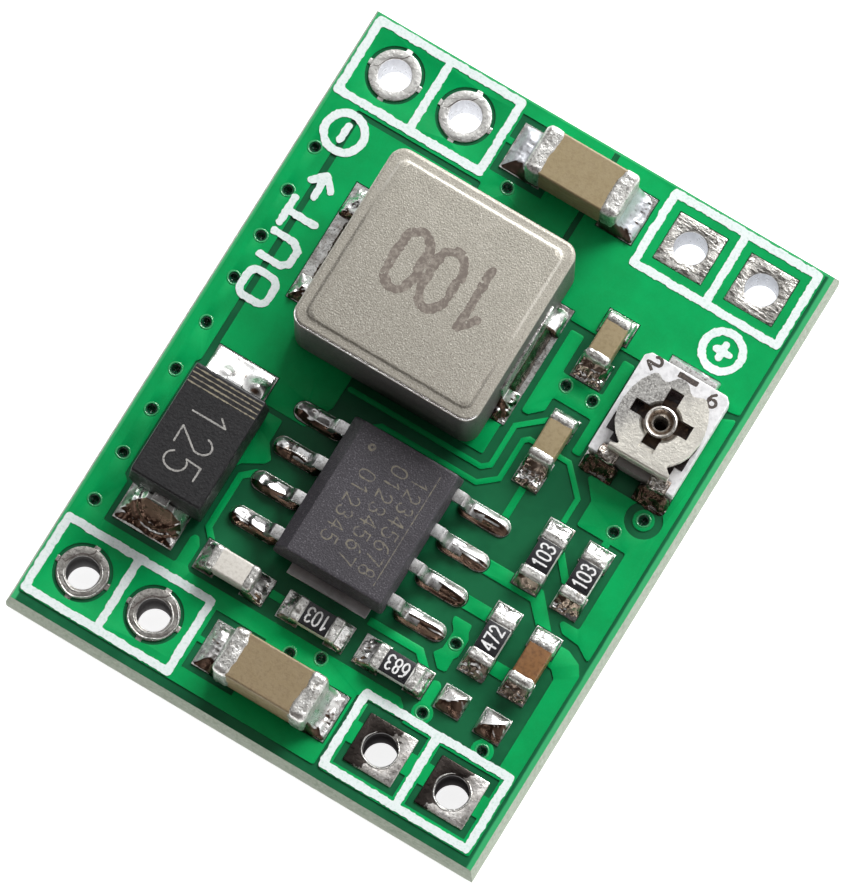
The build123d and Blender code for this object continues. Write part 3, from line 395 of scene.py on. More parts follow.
def mat_well():
    """Coating that runs into a via: pale green over its lip as a painted highlight, nearly black in its well as painted
    shade.
    """
    s = Shader("coat_in_via")
    z = s.xyz(2)
    # painted shade down the well and painted highlight on the lip, both chosen by height
    c = s.mix(s.steps(s.noise(9.0, 3), 0.4, 0.6), lin(6, 52, 32), lin(14, 84, 54))
    c = s.mix(s.steps(z, 1.625, 1.645), c, lin(44, 160, 96))
    s.set("Base Color", c)
    s.set("Roughness", 0.10)
    s.set("Specular IOR Level", 0.8)
    s.bump(s.noise(9.0, 3, 0.6, 0.5), 0.02, 0.9)
    return s.m


def mat_legend():
    s = Shader("legend_white")
    n = s.noise(11.0, 4, 0.65)
    s.set("Base Color", s.mix(s.steps(n, 0.46, 0.72), lin(232, 241, 240), lin(206, 226, 219)))
    s.set("Roughness", 0.62)
    s.bump(s.noise(24.0, 3), 0.006, 0.8)
    return s.m


def mat_iron():
    """Pressed iron powder: warm grey with light and dark grains, its sides much darker as painted shade, its top
    carrying painted light and shade.
    """
    s = Shader("pressed_iron")
    base = s.mix(s.steps(s.noise(1.1, 3), 0.3, 0.7), lin(181, 176, 164), lin(171, 166, 154))
    # painted shade: the top darkens towards -Y, away from the key light
    u = s.math("ADD", s.math("MULTIPLY", s.math("SUBTRACT", s.xyz(1), 3.67), 0.86),
               s.math("MULTIPLY", s.math("ADD", s.xyz(0), 1.85), 0.30))
    base = s.mix(s.steps(u, -2.6, 2.6), lin(161, 156, 145), base)
    qx = s.math("SUBTRACT", s.math("ABSOLUTE", s.math("ADD", s.xyz(0), 1.85)), 2.62)
    qy = s.math("SUBTRACT", s.math("ABSOLUTE", s.math("SUBTRACT", s.xyz(1), 3.67)), 2.60)
    px, py = s.math("MAXIMUM", qx, 0.0), s.math("MAXIMUM", qy, 0.0)
    ring = s.math("SQRT", s.math("ADD", s.math("MULTIPLY", px, px), s.math("MULTIPLY", py, py)))
    ring = s.math("ADD", ring, s.math("MINIMUM", s.math("MAXIMUM", qx, qy), 0.0))
    ring = s.math("ADD", s.math("SUBTRACT", ring, 0.28), s.math("MULTIPLY", s.math("SUBTRACT", s.noise(3.0, 3), 0.5), 0.05))
    top = s.math("GREATER_THAN", s.math("ABSOLUTE", s.normal_z()), 0.8)
    line = s.math("MULTIPLY", s.steps(s.math("ABSOLUTE", ring), 0.02, 0.07, 1.0, 0.0), top)
    # painted highlight on the panel step's side towards the key light, painted shade on its other side
    base = s.mix(s.math("MULTIPLY", line, s.steps(u, 0.2, 1.2, 0.0, 0.55)), base, lin(226, 222, 212))
    base = s.mix(s.math("MULTIPLY", line, s.steps(u, -0.6, 0.2, 0.55, 0.0)), base, lin(96, 92, 84))
    d, col = s.cells(17.0)
    n1 = s.noise(24.0, 2, 0.5)
    c = s.mix(s.math("MULTIPLY", s.steps(n1, 0.52, 0.70), 0.50), base, lin(224, 220, 210))
    n2 = s.noise(18.0, 2, 0.5, 0.3)
    c = s.mix(s.math("MULTIPLY", s.steps(n2, 0.55, 0.72), 0.60), c, lin(112, 107, 99))
    # painted shade: the side walls are much darker
    nz = s.math("ABSOLUTE", s.normal_z())
    side = s.steps(nz, 0.10, 0.50, 1.0, 0.0)
    n3 = s.noise(13.0, 3, 0.6)
    c = s.mix(s.math("MULTIPLY", side, s.steps(n3, 0.40, 0.62, 0.82, 1.0)), c, lin(92, 86, 91))
    # painted highlight: the rounded top edge that faces -Y is painted near white, smoother and metallic
    edge = s.math("MULTIPLY", s.steps(nz, 0.42, 0.60), s.steps(nz, 0.86, 0.93, 1.0, 0.0))
    edge = s.math("MULTIPLY", edge, s.steps(s.facing((0.0, -1.0, 0.0)), 0.1, 0.3))
    c = s.mix(edge, c, (0.95, 0.95, 0.94, 1))
    s.set("Base Color", c)
    s.set("Roughness", s.steps(edge, 0.0, 1.0, 0.44, 0.16))
    s.set("Metallic", s.steps(edge, 0.0, 1.0, 0.30, 1.0))
    h = s.math("ADD", s.noise(22.0, 3), s.math("MULTIPLY", d, -0.6))
    s.bump(s.math("ADD", h, s.math("MULTIPLY", s.steps(ring, -0.05, 0.05, 1.6, 0.0), top)), 0.014, 0.7)
    return s.m


def mat_plate():
    """The trimmer's pressed rotor: plated, sanded grey on one side and smooth on the
    other, dark brown below its top face, in its dish and slots save the lowest, as painted shade."""
    s = Shader("pressed_plate")
    z = s.xyz(2)
    smooth_part = s.mix(s.steps(s.noise(1.2, 3), 0.35, 0.65), (0.86, 0.83, 0.75, 1), (0.77, 0.74, 0.67, 1))
    grit = s.noise(17.0, 3, 0.6)
    sanded = s.ramp(grit, [(0.36, (0.26, 0.25, 0.24, 1)), (0.50, (0.47, 0.46, 0.44, 1)), (0.66, (0.66, 0.65, 0.62, 1))])
    v = s.math("ADD", s.math("MULTIPLY", s.math("SUBTRACT", s.xyz(0), 6.09), -0.75),
               s.math("MULTIPLY", s.math("SUBTRACT", s.xyz(1), 3.89), 0.55))
    v = s.math("ADD", v, s.math("MULTIPLY", s.math("SUBTRACT", s.noise(1.6, 3), 0.5), 0.9))
    c = s.mix(s.steps(v, -0.05, 0.75), smooth_part, sanded)
    # painted shade: below the top face, in the dish and slots, the plate is dark brown; the lowest slot is left light
    deep = s.steps(z, 2.70, 2.80, 1.0, 0.0)
    ramp = s.steps(s.math("SUBTRACT", s.xyz(1), 3.89), -0.46, -0.40, 0.0, 1.0)
    deep = s.math("MULTIPLY", deep, ramp)
    c = s.mix(s.math("MULTIPLY", deep, 0.8), c, (0.16, 0.11, 0.08, 1))
    s.set("Base Color", c)
    s.set("Metallic", s.steps(z, 2.70, 2.80, 0.75, 0.85))
    s.set("Roughness", s.steps(s.noise(7.0, 3), 0.3, 0.7, 0.32, 0.46))
    s.bump(grit, 0.012, 0.9)
    return s.m


def mat_base():
    """White trimmer ceramic, dark brown under the rotor and grey at its front between the terminals, both painted
    shade.
    """
    s = Shader("trimmer_ceramic")
    c = s.mix(s.steps(s.noise(6.0, 4), 0.42, 0.70), lin(236, 236, 238), lin(214, 214, 216))
    dx = s.math("SUBTRACT", s.xyz(0), 6.09)
    dy = s.math("SUBTRACT", s.xyz(1), 3.89)
    r = s.math("SQRT", s.math("ADD", s.math("MULTIPLY", dx, dx), s.math("MULTIPLY", dy, dy)))
    r = s.math("ADD", r, s.math("MULTIPLY", s.noise(3.0, 3), 0.2))
    # painted shade: the ceramic under the rotor is dark brown
    brown = s.mix(s.steps(s.noise(5.0, 3), 0.4, 0.6), lin(66, 46, 38), lin(104, 82, 64))
    c = s.mix(s.steps(r, 1.16, 1.28, 1.0, 0.0), c, brown)
    # painted shade: the front strip between the terminals is grey
    front = s.steps(s.math("ADD", s.xyz(1), s.math("MULTIPLY", s.noise(4.0, 3), 0.12)), 2.62, 2.70, 1.0, 0.0)
    mid = s.steps(s.math("ABSOLUTE", s.math("SUBTRACT", s.xyz(0), 6.06)), 1.10, 1.26, 1.0, 0.0)
    c = s.mix(s.math("MULTIPLY", front, mid), c, lin(128, 124, 122))
    s.set("Base Color", c)
    s.set("Roughness", s.steps(s.noise(4.0, 3), 0.3, 0.7, 0.40, 0.56))
    s.bump(s.noise(11.0, 3), 0.006, 0.8)
    return s.m


def mat_compound(name, face, spot, grain=26.0, depth=0.012, rough=0.52, amount=0.6):
    """Moulding compound with a fine sanded grain."""
    s = Shader(name)
    n = s.noise(grain, 3, 0.6)
    c = s.mix(s.math("MULTIPLY", s.steps(n, 0.52, 0.72), amount), face, spot)
    big = s.noise(0.7, 3)
    c = s.mix(s.math("MULTIPLY", s.steps(big, 0.4, 0.7), 0.35), c, (face[0] * 0.6, face[1] * 0.6, face[2] * 0.6, 1))
    s.set("Base Color", c)
    s.set("Roughness", s.steps(s.noise(grain * 0.5, 2), 0.3, 0.7, rough - 0.08, rough + 0.1))
    s.bump(s.noise(grain * 0.9, 3), depth, 0.8)
    return s.m


def mat_ceramic(name, face, spot, rough=0.35, scale=9.0, depth=0.006):
    s = Shader(name)
    n = s.noise(scale, 5, 0.62)
    s.set("Base Color", s.mix(s.steps(n, 0.42, 0.70), face, spot))
    s.set("Roughness", s.steps(s.noise(4.0, 3), 0.3, 0.7, rough - 0.06, rough + 0.12))
    s.bump(s.noise(scale * 1.6, 3), depth, 0.8)
    return s.m


def mat_small_cap():
    """Fawn ceramic; the one at the input end is a browner sort."""
    s = Shader("fawn_small")
    n = s.noise(7.0, 5, 0.62)
    fawn = s.mix(s.steps(n, 0.42, 0.70), lin(156, 140, 108), lin(140, 124, 92))
    rust = s.mix(s.steps(n, 0.42, 0.70), lin(134, 94, 56), lin(108, 72, 42))
    far = s.steps(s.math("ADD", s.xyz(1), s.xyz(0)), 3.2, 3.6, 1.0, 0.0)
    s.set("Base Color", s.mix(far, fawn, rust))
    s.set("Roughness", s.steps(s.noise(4.0, 3), 0.3, 0.7, 0.30, 0.44))
    s.bump(s.noise(12.0, 3), 0.005, 0.8)
    return s.m


def mat_ink(name, face, spot, scale=16.0, rough=0.6):
    s = Shader(name)
    s.set("Base Color", s.mix(s.steps(s.noise(scale, 3, 0.7), 0.42, 0.66), face, spot))
    s.set("Roughness", rough)
    s.bump(s.noise(scale * 1.5, 3), 0.003, 0.7)
    return s.m


HX = (-6.71, -4.17, 3.93, 6.47)
M = {}
M["board"] = mat_board()
M["mask"] = mat_mask("coat_over_copper", lin(3, 163, 87), lin(6, 150, 79))
# painted highlight: the rounded edges of the pours are a paler green
M["mask_edge"] = mat_mask("coat_edge_highlight", lin(120, 218, 150), lin(90, 200, 125), 0.24)
M["mask_low"] = mat_mask("coat_under", lin(20, 120, 62), lin(14, 108, 54))
M["mask_via"] = mat_well()
M["legend"] = mat_legend()
BROWN = (0.17, 0.105, 0.075, 1)
# the last colour of each solder that has one is painted shade, laid on its slopes that face away from the key light
M["solder"] = mat_metal("solder_bright", (0.93, 0.93, 0.92, 1), (0.74, 0.72, 0.70, 1),
                        (0.22, 0.38), 4.0, 0.012, 1.6, (0.36, 0.29, 0.24, 1), (0.60, 0.68), 1.0, 0.25,
                        (0.15, 0.095, 0.07, 1))
M["solder_chip"] = mat_metal("solder_chip", (0.93, 0.93, 0.92, 1), (0.74, 0.72, 0.70, 1),
                             (0.20, 0.36), 4.0, 0.012, 1.6, (0.30, 0.24, 0.20, 1), (0.58, 0.66), 1.0, 0.3,
                             (0.34, 0.27, 0.22, 1))
M["solder_pale"] = mat_metal("solder_pale", (0.80, 0.82, 0.87, 1), (0.66, 0.67, 0.70, 1),
                             (0.30, 0.46), 4.0, 0.008, 1.6, (0.34, 0.29, 0.26, 1), (0.62, 0.70), 0.85, 0.2,
                             (0.10, 0.065, 0.05, 1))
# painted shade: a dark solder for the joints under the inductor and at the trimmer's front
M["solder_dark"] = mat_metal("solder_painted_dark", (0.30, 0.24, 0.20, 1), (0.07, 0.05, 0.042, 1),
                             (0.08, 0.26), 6.0, 0.020, 2.4, (0.80, 0.78, 0.76, 1), (0.60, 0.68), 0.9, 0.4,
                             (0.09, 0.055, 0.04, 1))
M["solder_crimp"] = mat_metal("solder_crimp", (0.52, 0.48, 0.44, 1), (0.15, 0.12, 0.10, 1),
                              (0.12, 0.30), 7.0, 0.036, 5.0, (0.92, 0.91, 0.89, 1), (0.53, 0.60), 0.95, 0.6)
M["plating"] = mat_metal("levelled_plating", (0.74, 0.74, 0.72, 1), (0.42, 0.40, 0.38, 1),
                         (0.18, 0.38), 6.0, 0.014, 2.4, (0.24, 0.19, 0.15, 1), (0.54, 0.70), 1.0, 0.5)
M["pad_out_round"] = mat_pad("plating_output_round", (0.84, 0.83, 0.80, 1), (0.66, 0.65, 0.62, 1),
                             (0.80, 0.81, 0.84, 1), 0.0, 0.25)
M["pad_out_square"] = mat_pad("plating_output_square", (0.72, 0.70, 0.66, 1), (0.52, 0.50, 0.47, 1),
                              (0.62, 0.64, 0.68, 1), 0.85, 0.55)
M["pad_in_round"] = mat_pad("plating_input_round", (0.52, 0.50, 0.47, 1), (0.26, 0.24, 0.22, 1),
                            (0.20, 0.195, 0.195, 1), 0.0, 0.6, dull=True)
M["pad_in_square"] = mat_pad("plating_input_square", (0.94, 0.91, 0.88, 1), (0.78, 0.74, 0.70, 1),
                             (0.085, 0.08, 0.082, 1), 0.0, 0.6, (0.060, 0.050, 0.045, 1),
                             [(HX[2], -9.05), (HX[3], -9.05)], True)
M["terminal"] = mat_terminal()
M["pin"] = mat_pin()
M["heat"] = mat_metal("heat_pad_skin", (0.70, 0.69, 0.70, 1), (0.54, 0.53, 0.54, 1),
                      (0.40, 0.52), 5.0, 0.004, 1.4, None, (0.5, 0.7), 0.6)
M["tin"] = mat_metal("tinned_lead", (0.80, 0.80, 0.80, 1), (0.60, 0.59, 0.58, 1),
                     (0.24, 0.40), 9.0, 0.008, 3.0, None, (0.5, 0.7), 1.0, 0.35)
M["clip"] = mat_clip()
M["end"] = mat_metal("tinned_end", (0.86, 0.85, 0.82, 1), (0.66, 0.65, 0.62, 1),
                     (0.30, 0.46), 9.0, 0.024, 4.0, (0.34, 0.32, 0.29, 1), (0.56, 0.68), 0.92, 0.75)
M["rotor"] = mat_plate()
M["copper"] = mat_metal("bare_copper", (0.72, 0.42, 0.26, 1), (0.55, 0.30, 0.18, 1))
M["iron"] = mat_iron()
M["case"] = mat_compound("controller_compound", lin(60, 57, 63), lin(112, 108, 114), 19.0, 0.018, 0.52, 0.85)
M["case2"] = mat_compound("diode_compound", lin(19, 18, 21), lin(42, 39, 43), 14.0, 0.012, 0.46, 0.6)
M["tan"] = mat_ceramic("tan_ceramic", lin(156, 140, 107), lin(146, 129, 97), 0.36)
M["pale"] = mat_ceramic("pale_ceramic", lin(216, 212, 204), lin(198, 193, 184), 0.40)
M["alumina"] = mat_ceramic("white_alumina", lin(232, 232, 228), lin(208, 208, 202), 0.5)
M["glaze"] = mat_compound("black_glaze", lin(34, 34, 38), lin(58, 58, 62), 14.0, 0.006, 0.34, 0.4)
M["base"] = mat_base()
M["film"] = mat_compound("resistive_film", lin(34, 24, 26), lin(56, 42, 42), 14.0, 0.005, 0.3, 0.4)
M["silicon"] = mat_metal("plain_silicon", (0.35, 0.37, 0.42, 1), (0.30, 0.32, 0.36, 1))
M["ink_grey"] = mat_ink("ink_brown_grey", lin(116, 106, 98), lin(150, 142, 132), 7.0)
M["ink_light"] = mat_ink("ink_light", lin(168, 166, 162), lin(128, 126, 124))
M["ink_white"] = mat_ink("ink_white", lin(240, 240, 240), lin(205, 205, 205))
M["ink_fawn"] = mat_ink("ink_fawn", lin(148, 140, 118), lin(108, 101, 92))
M["ink_band"] = mat_ink("ink_band", lin(124, 114, 108), lin(92, 84, 82))
M["ink_ic"] = mat_ink("ink_controller", lin(120, 114, 100), lin(88, 84, 84), 9.0)
M["ink_dial"] = mat_ink("ink_dial", lin(62, 54, 50), lin(96, 86, 80))
M["tan_in"] = mat_ceramic("tan_ceramic_browner", lin(144, 127, 97), lin(134, 116, 88), 0.36)
M["tan_small"] = mat_small_cap()
M["seam"] = mat_ink("plating_seam", lin(78, 70, 66), lin(112, 104, 100))


def plain_normals():
    """A modifier group that drops the stored normals, so later rounding shades cleanly."""
    g = bpy.data.node_groups.new("plain_normals", "GeometryNodeTree")
    g.interface.new_socket("Geometry", in_out="INPUT", socket_type="NodeSocketGeometry")
    g.interface.new_socket("Geometry", in_out="OUTPUT", socket_type="NodeSocketGeometry")
    gi, go = g.nodes.new("NodeGroupInput"), g.nodes.new("NodeGroupOutput")
    drop = g.nodes.new("GeometryNodeRemoveAttribute")
    drop.inputs["Name"].default_value = "custom_normal"
    drop2 = g.nodes.new("GeometryNodeRemoveAttribute")
    drop2.inputs["Name"].default_value = "sharp_edge"
    sm = g.nodes.new("GeometryNodeSetShadeSmooth")
    sm.inputs["Shade Smooth"].default_value = True
    g.links.new(gi.outputs[0], drop.inputs["Geometry"])
    g.links.new(drop.outputs[0], drop2.inputs["Geometry"])
    g.links.new(drop2.outputs[0], sm.inputs["Geometry"])
    g.links.new(sm.outputs[0], go.inputs[0])
    return g


def angle_normals(limit):
    """A modifier group that shades smooth but keeps every edge over the limit crisp."""
    g = bpy.data.node_groups.new("angle_normals_%d" % limit, "GeometryNodeTree")
    g.interface.new_socket("Geometry", in_out="INPUT", socket_type="NodeSocketGeometry")
    g.interface.new_socket("Geometry", in_out="OUTPUT", socket_type="NodeSocketGeometry")
    gi, go = g.nodes.new("NodeGroupInput"), g.nodes.new("NodeGroupOutput")
    ea = g.nodes.new("GeometryNodeInputMeshEdgeAngle")
    gt = g.nodes.new("FunctionNodeCompare")
    gt.operation = "GREATER_THAN"
    g.links.new(ea.outputs[0], gt.inputs[0])
    gt.inputs[1].default_value = math.radians(limit)
    sm = g.nodes.new("GeometryNodeSetShadeSmooth")
    sm.domain = "EDGE"
    sm.inputs["Shade Smooth"].default_value = False
    g.links.new(gi.outputs[0], sm.inputs["Geometry"])
    g.links.new(gt.outputs[0], sm.inputs["Selection"])
    g.links.new(sm.outputs[0], go.inputs[0])
    return g


PLAIN, CRISP, FLAT = plain_normals(), angle_normals(32), angle_normals(5)


def finish_node(name, mats, weld=0.0005, bevel=0.0, segments=2, angle=35, edge_slot=-1, flat=False):
    """Materials and edge rounding on a CAD node; its own mesh is left as it is."""
    o = nodes[name]
    o.data.materials.clear()
    for m in mats:
        o.data.materials.append(m)
    w = o.modifiers.new("weld", "WELD")
    w.merge_threshold = weld * MM
    o.modifiers.new("plain", "NODES").node_group = PLAIN
    if bevel > 0:
        b = o.modifiers.new("round", "BEVEL")
        b.width = bevel * MM
        b.segments = segments
        b.limit_method = "ANGLE"
        b.angle_limit = math.radians(angle)
        b.harden_normals = False
        if edge_slot >= 0:
            b.material = edge_slot
    o.modifiers.new("crisp", "NODES").node_group = FLAT if flat else CRISP
    n = o.modifiers.new("normals", "WEIGHTED_NORMAL")
    n.weight = 50
    n.keep_sharp = True
    return o


finish_node("circuit_board", [M["board"]])
# the bevel faces carry the painted edge highlight
finish_node("copper_top", [M["mask"], M["mask_edge"]], bevel=0.034, segments=2, edge_slot=1)
finish_node("copper_bottom", [M["mask_low"]])
finish_node("via_barrels", [M["mask_via"]])
finish_node("surface_pads", [M["plating"]], bevel=0.02)
finish_node("heat_pad", [M["heat"]], bevel=0.03, segments=3)
for n, m in (("output_negative_pads", "pad_out_round"), ("output_positive_pads", "pad_out_square"),
             ("input_negative_pads", "pad_in_round"), ("input_positive_pads", "pad_in_square")):
    finish_node(n, [M[m]], bevel=0.035, segments=3)
finish_node("inductor_body", [M["iron"]], bevel=0.02)
finish_node("inductor_coil", [M["copper"]])
finish_node("inductor_clips", [M["clip"]], bevel=0.03)
finish_node("controller_body", [M["case"]], bevel=0.09, segments=4, angle=25)
finish_node("controller_leads", [M["tin"]], bevel=0.03)
finish_node("controller_slug", [M["heat"]], bevel=0.02)
finish_node("controller_die", [M["silicon"]])
finish_node("diode_body", [M["case2"]], bevel=0.07, segments=4, angle=25)
finish_node("diode_leads", [M["tin"]], bevel=0.05, segments=3)
finish_node("diode_die", [M["silicon"]])
for n in ("output_capacitor_body", "input_capacitor_body", "small_capacitor_bodies"):
    finish_node(n, [M["tan_small"] if n.startswith("small") else M["tan_in"] if n.startswith("input") else M["tan"]])
finish_node("light_capacitor_body", [M["pale"]])
finish_node("resistor_bodies", [M["alumina"]])
finish_node("resistor_coats", [M["glaze"]], bevel=0.012)
finish_node("trimmer_base", [M["base"]], bevel=0.04)
finish_node("trimmer_track", [M["film"]])
finish_node("trimmer_terminals", [M["terminal"]], bevel=0.02)
finish_node("trimmer_pin", [M["pin"]])
finish_node("trimmer_rotor", [M["rotor"]], flat=True)
finish_node("trimmer_wiper", [M["rotor"]], bevel=0.01)

# -------------------------------------------------------------- mesh pieces


def new_piece(name, verts, faces, mat, body="module", flat=False):
    me = bpy.data.meshes.new(name)
    me.from_pydata([(x * MM, y * MM, z * MM) for x, y, z in verts], [], faces)
    me.validate()
    if not flat:
        me.polygons.foreach_set("use_smooth", [True] * len(me.polygons))
    me.materials.append(mat)
    o = bpy.data.objects.new(name, me)
    scene.collection.objects.link(o)
    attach(o, body)
    return o


class Cluster:
    """Verts and faces of several closed lumps that make one piece."""

    def __init__(self):
        self.v, self.f = [], []

    def lump(self, rect, height, z0, step=0.03, corner=0.08, wobble=0.02, seed=1):
        """A closed lump over a rounded rectangle; height(x, y, d) gives its top, d is
        the distance in from the rim."""
        x0, y0, x1, y1 = rect
        cx, cy = (x0 + x1) / 2, (y0 + y1) / 2
        a, b = (x1 - x0) / 2, (y1 - y0) / 2
        corner = min(corner, a * 0.98, b * 0.98)
        nx, ny = max(8, int(2 * a / step)), max(8, int(2 * b / step))
        s, t = np.meshgrid(np.linspace(-1, 1, nx + 1), np.linspace(-1, 1, ny + 1), indexing="ij")
        m = np.maximum(np.abs(s), np.abs(t))
        # pull the corners of the grid in to the rounded outline
        px, py = s * a, t * b
        ang_x = np.where(m > 0, px / np.maximum(m, 1e-9), 0)
        ang_y = np.where(m > 0, py / np.maximum(m, 1e-9), 0)
        lo, hi = np.zeros_like(px), np.ones_like(px)
        for _ in range(18):
            mid = (lo + hi) / 2
            inside = sd_rect(ang_x * mid, ang_y * mid, (-a, -b, a, b), corner) < 0
            lo = np.where(inside, mid, lo)
            hi = np.where(inside, hi, mid)
        k = 1 - (1 - lo) * m ** 5
        px, py = px * k, py * k
        rad = np.maximum(np.hypot(px, py), 1e-6)
        wob = wobble * fnoise((px + cx) * 3.1, (py + cy) * 3.1, seed + 40, 2) * m ** 4
        px, py = px * (1 + wob / rad), py * (1 + wob / rad)
        d = -sd_rect(px, py, (-a, -b, a, b), corner)
        d = np.clip(np.maximum(d, (1 - m) * min(a, b) * 0.4), 0, None)
        x, y = px + cx, py + cy
        z = z0 + np.maximum(height(x, y, d), 0.0)
        rim = m > 0.9999
        z = np.where(rim, z0, z)
        base = len(self.v)
        idx = np.arange((nx + 1) * (ny + 1)).reshape(nx + 1, ny + 1) + base
        self.v += list(zip(x.ravel(), y.ravel(), z.ravel()))
        for i in range(nx):
            for j in range(ny):
                self.f.append((idx[i, j], idx[i + 1, j], idx[i + 1, j + 1], idx[i, j + 1]))
        loop = ([idx[i, 0] for i in range(nx)] + [idx[nx, j] for j in range(ny)]
                + [idx[i, ny] for i in range(nx, 0, -1)] + [idx[0, j] for j in range(ny, 0, -1)])
        self.f.append(tuple(int(q) for q in loop[::-1]))

    def block(self, lo, hi, r=0.08, step=0.035, rough=0.012, grain=5.0, seed=1, wave=0.0, side=None):
        """A closed box with eased edges and an uneven skin. side: the face, such as "+x",
        that wanders in and out by wave along its edge."""
        lo, hi = np.array(lo, float), np.array(hi, float)
        n = [max(4, int(round((hi[i] - lo[i]) / step))) for i in range(3)]
        ids, pts, quads = {}, [], []

        def vid(k):
            if k not in ids:
                ids[k] = len(pts)
                pts.append(k)
            return ids[k]

        for ax in range(3):
            u, v = (ax + 1) % 3, (ax + 2) % 3
            for end in (0, n[ax]):
                for i in range(n[u]):
                    for j in range(n[v]):
                        q = []
                        for du, dv in ((0, 0), (1, 0), (1, 1), (0, 1)):
                            k = [0, 0, 0]
                            k[ax], k[u], k[v] = end, i + du, j + dv
                            q.append(vid(tuple(k)))
                        quads.append(q if end else q[::-1])
        t = np.array(pts, float) / np.array(n, float)
        ease = 0.5 - 0.5 * np.cos(np.pi * t)
        t = 0.55 * t + 0.45 * ease
        p = lo + t * (hi - lo)
        c = np.clip(p, lo + r, hi - r)
        d = p - c
        ln = np.linalg.norm(d, axis=1)
        nrm = d / np.maximum(ln, 1e-9)[:, None]
        p = c + nrm * r
        x, y, z = p[:, 0], p[:, 1], p[:, 2]
        bump = fnoise(x * grain + 0.7 * z * grain, y * grain + 0.9 * z * grain, seed, 3)
        p = p + nrm * (rough * bump)[:, None]
        if side:
            ax = "xyz".index(side[1])
            o = 1 - ax
            near = t[:, ax] if side[0] == "+" else 1 - t[:, ax]
            w = fnoise(p[:, o] * 2.4 + seed, p[:, 2] * 0.9, seed + 5, 2) * wave
            p[:, ax] += (1 if side[0] == "+" else -1) * w * smooth(0.2, 1.0, near)
        base = len(self.v)
        self.v += [tuple(q) for q in p]
        self.f += [tuple(int(i) + base for i in q) for q in quads]

    def piece(self, name, mat, replaced):
        o = new_piece(name, self.v, [tuple(int(i) for i in f) for f in self.f], mat)
        if replaced:
            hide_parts(*replaced)
        return o


def meniscus(parts, lip=0.05, dome=0.10, edge=0.16, rough=0.03, grain=2.6, seed=3, toe=0.0, lean=(0.0, 0.0), about=(0.0, 0.0)):
    """A solder surface: rounded at the pad's rim and drawn up against each part.
    parts: (rectangle, height at its wall, reach, power). toe: crumpling away from the
    parts. lean: slope of the whole surface about a point."""

    def h(x, y, d):
        f = np.sqrt(np.clip(1 - (1 - np.clip(d / edge, 0, 1)) ** 2, 0, 1))
        z = lip + dome * smooth(0, 0.45, d)
        far = np.ones_like(x)
        for r, wall, reach, power in parts:
            dist = np.clip(sd_rect(x, y, r) / reach, 0, 1)
            z = np.maximum(z, z * dist + wall * (1 - dist) ** power)
            far = np.minimum(far, dist)
        z = z + lean[0] * (x - about[0]) + lean[1] * (y - about[1])
        n = fnoise(x * grain, y * grain, seed, 2)
        z = z + rough * n
        if toe:
            a = fnoise(x * 3.4 + 3, y * 3.4, seed + 9, 2)
            b = fnoise(x * 6.5, y * 6.5 - 7, seed + 15, 2)
            z = z + toe * smooth(0.1, 0.8, far) * (0.8 * a + 0.9 * (0.35 - np.abs(b)))
        return f * np.maximum(z, 0.01)

    return h


CHIPS = {
    # centre x, y, along, half length, half width, height, wet height
    "C3": (3.33, 5.40, "y", 0.80, 0.41, 0.80, 0.42, [(2.80, 5.60, 3.84, 6.42), (2.80, 3.98, 3.86, 4.90)]),
    "C4": (3.46, 1.84, "y", 0.80, 0.41, 0.80, 0.42, [(2.98, 2.05, 3.88, 2.86), (2.98, 0.22, 3.88, 1.30)]),
    "C5": (6.53, -4.45, "y", 0.80, 0.41, 0.80, 0.42, [(6.02, -4.00, 6.94, -3.26), (6.02, -5.70, 6.94, -4.90)]),
    "C6": (-2.77, -6.66, "x", 0.80, 0.41, 0.80, 0.40, [(-3.96, -7.16, -3.25, -6.12), (-2.30, -7.16, -1.50, -6.20)]),
    "R1": (5.11, -1.40, "y", 0.80, 0.41, 0.46, 0.36, [(4.62, -0.95, 5.50, -0.14), (4.62, -2.54, 5.50, -1.85)]),
    "R2": (6.50, -1.33, "y", 0.80, 0.41, 0.46, 0.36, [(6.02, -0.90, 6.94, -0.15), (6.02, -2.60, 6.94, -1.78)]),
    "R3": (5.10, -4.42, "y", 0.80, 0.41, 0.46, 0.36, [(4.60, -4.00, 5.50, -3.20), (4.60, -5.70, 5.50, -4.88)]),
    "R4": (3.08, -6.66, "x", 0.80, 0.41, 0.46, 0.36, [(1.72, -7.16, 2.62, -6.15), (3.50, -7.12, 4.15, -6.15)]),
    "R5": (0.23, -6.67, "x", 0.80, 0.41, 0.46, 0.36, [(-1.00, -7.16, -0.25, -6.20), (0.70, -7.16, 1.35, -6.20)]),
}
CHIP_Z = SEAT + 0.02
GROUPS = {"small_capacitor_ends": ("C3", "C4", "C5"), "light_capacitor_ends": ("C6",),
          "resistor_ends": ("R1", "R2", "R3", "R4", "R5")}
for node, keys in GROUPS.items():
    ends = Cluster()
    for i, key in enumerate(keys):
        cx, cy, along, hl, hw, top = CHIPS[key][:6]
        for j, sgn in enumerate((-1, 1)):
            inner, outer = (hl - 0.33) * sgn, (hl + 0.012) * sgn
            a, b = min(inner, outer), max(inner, outer)
            w = hw + 0.008
            if along == "x":
                lo, hi = (cx + a, cy - w, CHIP_Z - 0.005), (cx + b, cy + w, CHIP_Z + top + 0.012)
            else:
                lo, hi = (cx - w, cy + a, CHIP_Z - 0.005), (cx + w, cy + b, CHIP_Z + top + 0.012)
            face = ("-" if sgn > 0 else "+") + along
            ends.block(lo, hi, 0.13 if top > 0.6 else 0.09, 0.032, 0.016, 5.5, 200 + 9 * i + 4 * j + len(node), 0.03, face)
    ends.piece(node, M["end"], [node])

